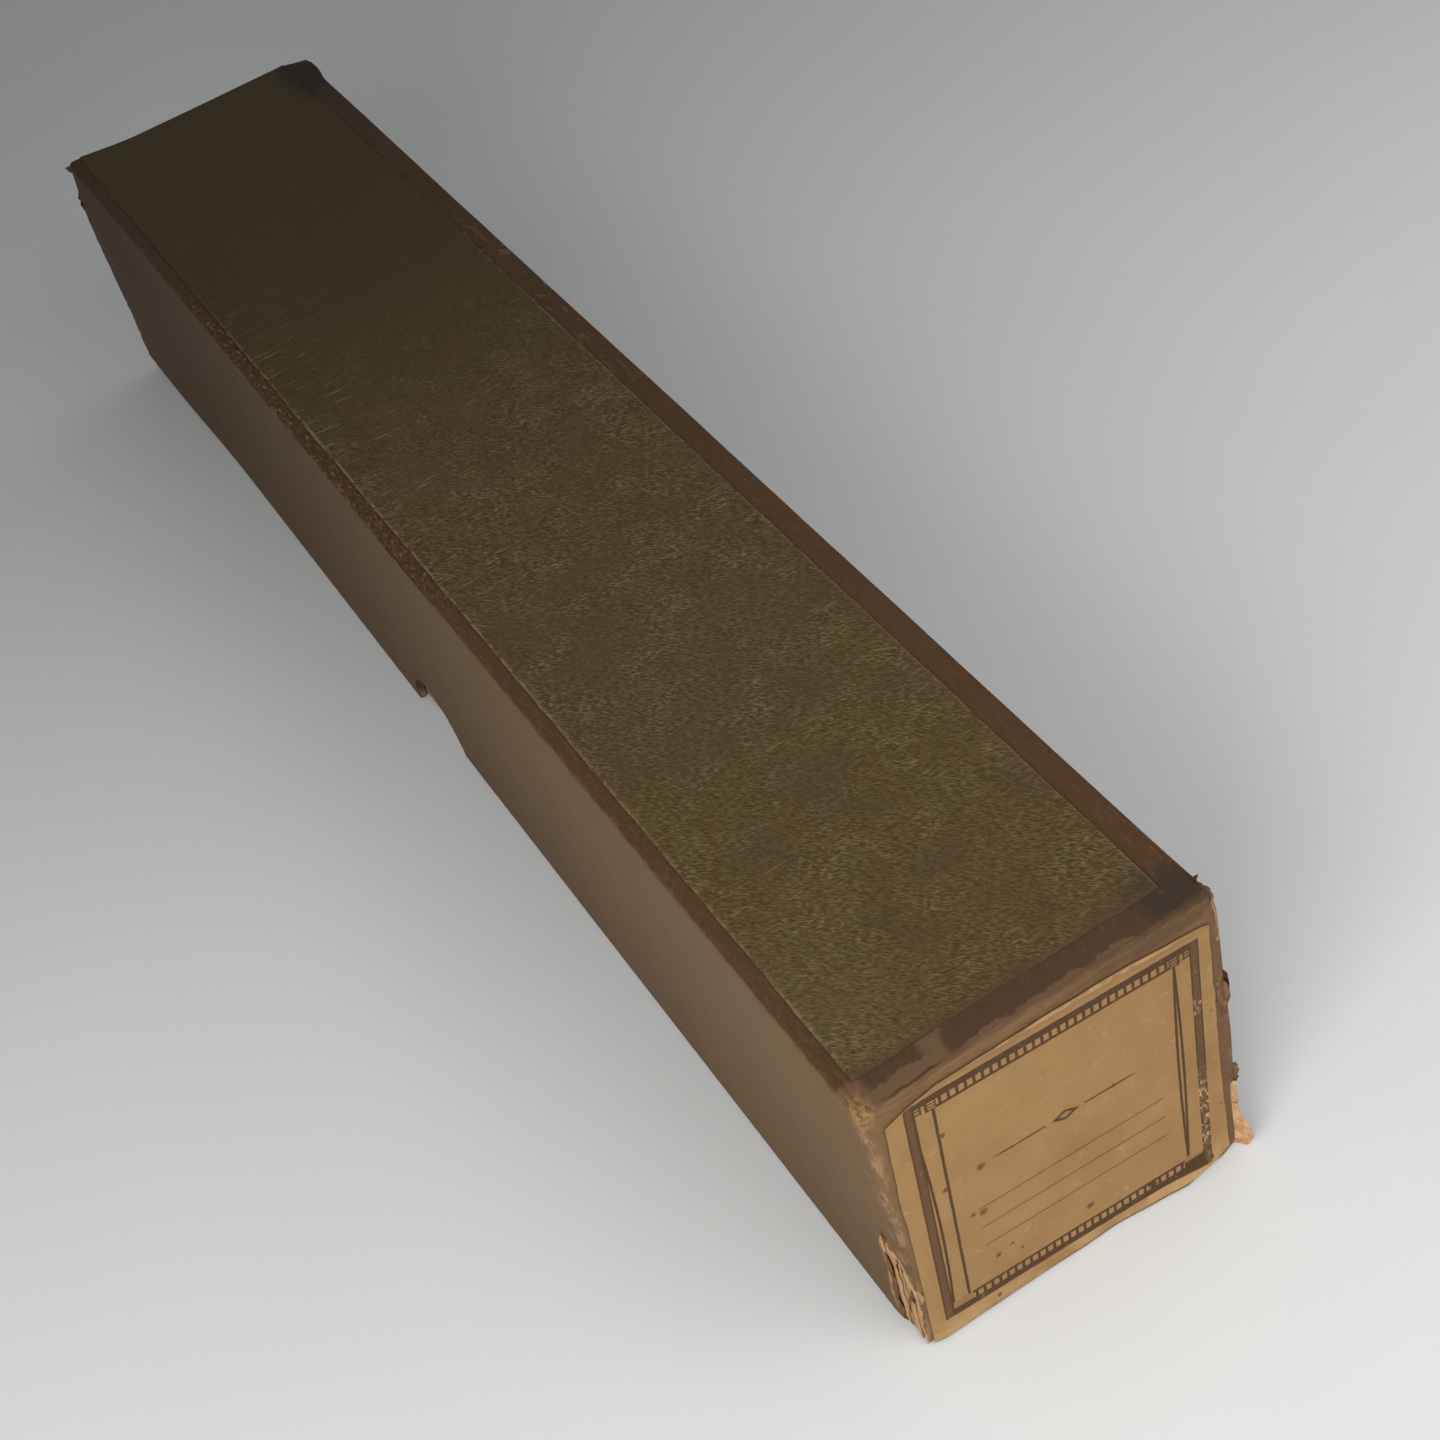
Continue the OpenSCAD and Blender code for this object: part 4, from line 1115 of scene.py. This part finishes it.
# Material and name, then what scrap() takes
SCRAPS = [
    (FOLD, "right_top", upright(161.1, RIGHT - 0.4, 34.4, 41.6), (0.1, 1, 0.05), hump, 1, -0.5, 1, 0.2),
    (FLAP, "right_top_inner", upright(161.9, RIGHT - 1.15, 33.6, 40.4), (0.2, 1, 0), hump,
     1.15, -0.25, 4, 0.2),
    (FLAP, "right_nub", upright(161.2, RIGHT - 0.35, 14.4, 19), (0.15, 1, 0), lambda v: 0.6 + 0.4 * hump(v),
     1.25, -0.3, 2, 0.3),
    (PULP, "right_low", upright(161.5, RIGHT - 0.75, 0.9, 15.2), (0.2, 1, 0), lambda v: 0.62 + 0.38 * (1 - v),
     1.75, -0.2, 3, 0.25, 30),
    (PULP, "right_foot", upright(161.8, RIGHT - 0.65, 0.4, 10.5), (0.74, 0.67, 0),
     lambda v: (0.62 + 1.6 * v) if v < 0.24 else 1 - 1.05 * (v - 0.24), 3.1, -0.12, 6, 0.13, 30, 14),
    (FOLD, "right_nib", lambda v: (159.1 - 0.8 * v, RIGHT - 0.35, TOP - 0.25), (-0.3, 0.3, 0.85),
     lambda v: 1 - 0.5 * v, 1.5, 0.3, 15, 0.1, 5, 6),
    (FLAP, "right_corner", lambda v: (161.9 - 3 * v, RIGHT - 0.15, TOP - 0.9 + 0.5 * v), (0.35, 0.7, 0.5),
     hump, 0.7, 0.5, 16, 0.6),
    (RUST, "left_top", upright(156.4, LEFT + 0.1, 21.8, 25.4), (0.7, -0.6, 0.3), hump, 1, 0.9, 7),
    (RUST, "left_mid", upright(155.6, LEFT + 0.15, 8, 18.5), (0.8, -0.5, 0), hump, 1.5, 0.9, 8, 0.35, 22),
    (RUST, "left_low", upright(155.2, LEFT + 0.15, 0.8, 9.5), (0.85, -0.45, 0), hump, 1.6, 1, 9, 0.35, 22),
    (STAY, "left_edge", upright(161.6, LEFT + 0.5, 9.5, 14.5), (0.9, -0.3, 0), hump, 0.9, -0.9, 10),
    (STAY, "left_ridge", upright(157, LEFT + 0.25, 3, 21.5), (0.8, -0.5, 0),
     lambda v: 0.55 + 0.45 * abs(math.sin(5 * v)), 1.5, 0.9, 11, 0.5, 34),
    (STAY, "left_pulp", upright(159.6, LEFT + 0.25, 0.6, 10.5), (0.8, -0.45, 0),
     lambda v: 0.55 + 0.4 * abs(math.sin(7 * v + 1)), 1.3, 0.6, 13, 0.5, 30),
    (STAY, "left_foot", lambda v: (161.2, LEFT + 0.35 + 1.3 * v, 2.6), (0.3, -0.1, -1), lambda v: 1 - 0.2 * v,
     2.3, 0.15, 18, 0.15),
    (FOLD, "far_corner", upright(FAR + 0.3, LEFT + 0.3, 46.5, 52), (-0.5, -0.8, 0.2), hump, 0.7, 0.8, 12),
    (FOLD, "far_nib", upright(FAR + 0.3, LEFT + 0.35, 55.9, 57.9), (-0.6, -0.7, 0.2), hump,
     1.3, 0.3, 17, 0.35, 6, 6),
]
for material, name, *shape in SCRAPS:
    put("lid_scrap_" + name, scrap(*shape), [material], "lid", (), 60, lid_warp, SCRAP, 0)

# Tray

TRAY_L, TRAY_W, TRAY_TOP = high_corner("tray_side_paper")
TRAY_CORNER = 0.9
UNDER = low_corner("tray_side_paper").z
tray_stops = (stops(1, 3, 1, 3, 8, 2 * TRAY_L), stops(1, 2, 1, 2, 5, 2 * TRAY_W))
paper_profile = ([(inset, UNDER + 0.01) for inset in (10, 6, 3, 1.4, 0.8)]
                 + bend(0.6, UNDER + 0.61, -0.6, -0.6, range(72, -1, -18))
                 + [(0, UNDER + 0.6 + (TRAY_TOP - 1.3 - UNDER) * i / 22) for i in range(1, 23)]
                 + bend(0.75, TRAY_TOP - 0.7, -0.75, 0.7, range(15, 181, 15))
                 + [(1.5, TRAY_TOP - depth) for depth in (1.5, 4, 7, 10, 14)])
put("tray_paper_wrap", sweep(TRAY_L, TRAY_W, TRAY_CORNER, paper_profile, tray_stops, closed=False),
    [TRAY_PAPER], "tray", ["tray_side_paper"], 38, None, WRAP)

tray_floor = high_corner("tray_base_board")
profile = board_profile(TRAY_L - tray_floor.x, TRAY_TOP - 0.17, 2 * 0.15 + 0.02, tray_floor.z, 1)
board = sweep(TRAY_L, TRAY_W, TRAY_CORNER, profile, tray_stops, press=board_press(TRAY_L, TRAY_W))
put("tray_strawboard", flipped(*board), [STRAW], "tray",
    ["tray_base_board"] + boards_of("tray")[1:], 38)
put("tray_gummed_stays", stays(TRAY_L, TRAY_W, TRAY_CORNER, 1.9, TRAY_TOP - 1.7), [STAY], "tray",
    ["tray_corner_stays"], 38, None, GUMMED, frayed=True)
base_profile = [(28, 0), (10, 0), (0.5, 0), (0.4, 0.07), (0.5, 0.14), (9.9, 0.14), (10.1, 0.28), (26, 0.28)]
put("tray_base_sheet", sweep(TRAY_L, TRAY_W, 1.6, base_profile, tray_stops), [TRAY_PAPER], "tray",
    ["tray_base_paper"])

# Leader: one turn of stout paper, its tapered tongue on top of it, the linen tab and the eyelet

leader_high = high_corner("leader_sheet")
LEADER_HALF = leader_high.x
TONGUE_R = leader_high.z - AXIS_Z
TONGUE_TIP, TONGUE_ROOT = 23, LEADER_HALF - 19
TIP_TURN = math.degrees(math.asin(9.5 / TONGUE_R))
LEADER_TURN = 412
tab_low, tab_high = low_corner("leader_tab"), high_corner("leader_tab")
TAB_R = tab_high.z - AXIS_Z


def leader_point(u, v):
    """u runs back round the roll from the tongue's tip, v along the roll."""
    turn = LEADER_TURN * u
    half = along([(0, TONGUE_TIP), (2 * TIP_TURN, TONGUE_ROOT), (2 * TIP_TURN + 9, LEADER_HALF)], turn)[0]
    x = (2 * v - 1) * half
    radius = TONGUE_R - 0.19 * clamp((turn - 40) / 300) - 0.19 * clamp((turn - 340) / 60)
    radius += 0.22 * ease(20 - turn, 0, 20) * ease(abs(x), 12, 23)
    radius += 0.05 * wander(x / 22, turn / 25, 3) * ease(turn, 20, 90) * (1 - ease(turn, 300, 350))
    angle = math.radians(turn - TIP_TURN)
    return x, math.sin(angle) * radius, AXIS_Z + math.cos(angle) * radius


def tab_point(u, v):
    y = tab_low.y + (tab_high.y - tab_low.y) * u
    x = (2 * v - 1) * (13 + 0.12 * wander(y / 2, 4))
    if u < 0.02:
        y += 0.2 * wander(x / 0.8, 3)
    radius = TAB_R - 0.03 + 0.35 * ease(-y, 5, 9) ** 2
    turn = math.asin(clamp(y / TAB_R, -1, 1))
    return x, math.sin(turn) * radius, AXIS_Z + math.cos(turn) * radius


put("leader_paper_sheet", sheet(leader_point, 150, 48), [LEADER], "leader", ["leader_sheet"],
    50, None, LEADER_SHEET)
put("leader_linen_tab", flipped(*sheet(tab_point, 30, 36)), [LINEN], "leader", ["leader_tab"],
    50, None, TAB)
collar = high_corner("tab_eyelet").z
eyelet_r = (high_corner("tab_eyelet").x - low_corner("tab_eyelet").x) / 2
eyelet_profile = (offset(collar, 0, (-0.9, 2.5), (-0.35, 2.52), (-0.12, 2.62), (0, 2.95), (0.02, 3.4),
                         (-0.06, 3.95))
                  + offset(collar, eyelet_r, (-0.24, -0.12), (-0.42, 0), (-0.5, -0.1))
                  + offset(collar, 0, (-0.48, 3.6), (-0.52, 3.02), (-1.3, 3), (-1.3, 2.5)))
points, faces = lathe(eyelet_profile, 1, 64, z=0)
points = [(z, y, x) for x, y, z in points]
put("tab_eyelet_ring", (points, faces), [BRASS], "leader", ["tab_eyelet"])

# Spool: the winding with its layered ends, flanges, end plates and nails

winding_high = high_corner("wound_paper")
winding_r = winding_high.y
layered = [(winding_high.x - 0.12 + 0.1 * wander(i * 1.7, 2), 16.3 + (winding_r - 16.3) * i / 24)
           for i in range(25)]
outside = [(x, winding_r - 0.02 + 0.03 * wander(x / 30, 5))
           for x in (-140, -120, -90, -60, -30, 0, 30, 60, 90, 120, 140)]
put("wound_music_paper", lathe([(-a, r) for a, r in layered] + outside + layered[::-1], 1, 120), [MUSIC],
    "spool", ["wound_paper"])

flange_high = high_corner("right_flange")
flange_r, out_x, in_x = flange_high.y, flange_high.x, low_corner("right_flange").x
core_r = high_corner("core_tube").y
hub_x, hub_r = in_x + 2, core_r + 2.5
flange_profile = ([(in_x, core_r + 0.05)]
                  + offset(in_x, flange_r, (0, -1.2), (0.12, -0.4), (0.5, -0.08), (1, 0))
                  + offset(hub_x, flange_r, (0.2, 0), (0.6, -0.2), (0.78, -0.6), (0.78, -0.95), (0.55, -1.35),
                           (0.2, -1.65), (0, -2.2))
                  + offset(hub_x, hub_r, (0, 1.2), (0.15, 0.5), (0.6, 0.1), (1.2, 0))
                  + offset(out_x, hub_r, (-0.6, -0.05), (-0.2, -0.2), (0, -0.6))
                  + offset(out_x, core_r, (0, 0.5), (-0.2, 0.08)) + [(in_x + 0.3, core_r + 0.05)])
for side, name in ((1, "right_flange"), (-1, "left_flange")):
    put(name + "_pressed", lathe(flange_profile, side, 128), [FIBRE], "spool", [name], 50)

plate_high = high_corner("drive_plate")
plate_r, plate_out, plate_in = plate_high.y, plate_high.x, low_corner("drive_plate").x
plate_edge = (offset(plate_in, plate_r, (0, -0.25), (0.08, -0.05), (0.22, 0))
              + offset(plate_out, plate_r, (-0.15, -0.03), (-0.02, -0.2), (0, -0.5), (0, -1.3),
                       (-0.12, -1.8)))
slot_ring = []
for sy, sz, start in ((-1, -1, 180), (1, -1, 270), (1, 1, 0), (-1, 1, 90)):
    slot_ring += bend(sy * 1.3, AXIS_Z + sz * 7.5, 0.5, 0.5, range(start, start + 91, 30))
slot_cutter = prism("slot_cutter", slot_ring, plate_in - 1, plate_out + 1, lambda y, z, x: (x, y, z))
drive_profile = [(plate_in, 0.01)] + plate_edge + [(plate_out - 0.12, 10), (plate_out - 0.12, 0.01)]
put("drive_plate_stamped", lathe(drive_profile), [STEEL], "spool", ["drive_plate"], 30,
    cutter=slot_cutter)
BORE_R = 4.1
ferrule_profile = (plate_edge + offset(plate_out, BORE_R, (-0.12, 1.6), (-0.02, 0.9), (-0.06, 0.3), (-0.4, 0))
                   + offset(-high_corner("bearing_plate").x, BORE_R, (0.1, 0), (0, 0.15), (0, 0.5))
                   + offset(plate_in, BORE_R, (-0.4, 0.5), (-0.05, 0.8)))
put("bearing_plate_drawn", lathe(ferrule_profile, -1), [STEEL], "spool", ["bearing_plate"], 30)

nail_in, nail_out = low_corner("drive_plate_nails").x, high_corner("drive_plate_nails").x
nail_profile = [(nail_in, 0.05), (nail_in + 0.9, 0.6)] + offset(
    nail_out, 0, (-0.4, 0.6), (-0.38, 1.28), (-0.26, 1.3), (-0.12, 1.1), (-0.03, 0.65), (0, 0.02))
for side, name in ((1, "drive_plate_nails"), (-1, "bearing_plate_nails")):
    points, faces = [], []
    for up, across in bend(0, 0, 10.75, -side * 10.75, (0, 120, 240)):
        more, own = lathe(nail_profile, side, 20, across, AXIS_Z + up, closed=False)
        faces += [tuple(k + len(points) for k in face) for face in own]
        points += more
    put(name + "_domed", (points, faces), [NAIL], "spool", [name])

for node, material in (("core_tube", CORE), ("core_tape", STAY), ("left_plug", WOOD), ("right_plug", WOOD)):
    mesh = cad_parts[node].data
    mesh.materials.clear()
    mesh.materials.append(material)

for tool in (notch_cutter, slot_cutter):
    mesh = tool.data
    bpy.data.objects.remove(tool)
    bpy.data.meshes.remove(mesh)

# Floor, light and camera

FLOOR = 3000
floor_corners = [(-FLOOR, -FLOOR, 0), (FLOOR, -FLOOR, 0), (FLOOR, FLOOR, 0), (-FLOOR, FLOOR, 0)]
floor = link("floor", floor_corners, [(0, 1, 2, 3)])
cloth = Finish("pale_floor", 0.9, 0.15)
# Floor darker towards the far end: painted shade for the light falling off.
cloth.ground((226, 229, 231), (172, 174, 174), (cloth.x * -0.95 - cloth.y * 0.12).rise(-210, 330))
floor.data.materials.append(cloth.done(0.96 + cloth.cloud(120) * 0.08))

world = bpy.data.worlds.new("studio")
bpy.context.scene.world = world
world.use_nodes = True
sky = world.node_tree.nodes["Background"].inputs
sky["Color"].default_value, sky["Strength"].default_value = (1, 1, 0.99, 1), 0.34

WINDOW_TINT, BEHIND_TINT = (1, 0.99, 0.96), (0.98, 0.99, 1)
for name, place, target, width, depth, power, tint in (
        ("window", (0.50, 0.20, 0.50), (0.12, 0.02, 0), 0.45, 0.45, 1.4, WINDOW_TINT),
        ("front", (0.45, -0.42, 0.36), (0.10, -0.03, 0.03), 0.4, 0.4, 2.8, WINDOW_TINT),
        ("behind", (-0.25, 0.95, 0.5), (0, 0, 0), 0.8, 0.6, 1.5, BEHIND_TINT)):
    data = bpy.data.lights.new(name, "AREA")
    data.shape, data.size, data.size_y = "RECTANGLE", width, depth
    data.energy, data.color = power, tint
    light = bpy.data.objects.new(name, data)
    bpy.context.scene.collection.objects.link(light)
    light.location = place
    light.rotation_euler = (Vector(target) - Vector(place)).to_track_quat("-Z", "Y").to_euler()

# The camera that was fitted to the box's corners in the photo: place in mm, then right, up and back
CAMERA_PLACE = (336.17, -89.07, 312)
CAMERA_AXES = ((0.49658, 0.84197, -0.21092), (-0.53607, 0.48861, 0.68840), (0.68267, -0.22878, 0.69399))
camera_data = bpy.data.cameras.new("camera")
camera_data.sensor_width, camera_data.lens, camera_data.clip_start = 36, 59.96, 0.01
camera = bpy.data.objects.new("camera", camera_data)
bpy.context.scene.collection.objects.link(camera)
turned = Matrix(CAMERA_AXES).transposed().to_4x4()
camera.matrix_world = Matrix.Translation(Vector(CAMERA_PLACE) * MM) @ turned
bpy.context.scene.camera = camera
bpy.context.scene.view_settings.view_transform = "Standard"
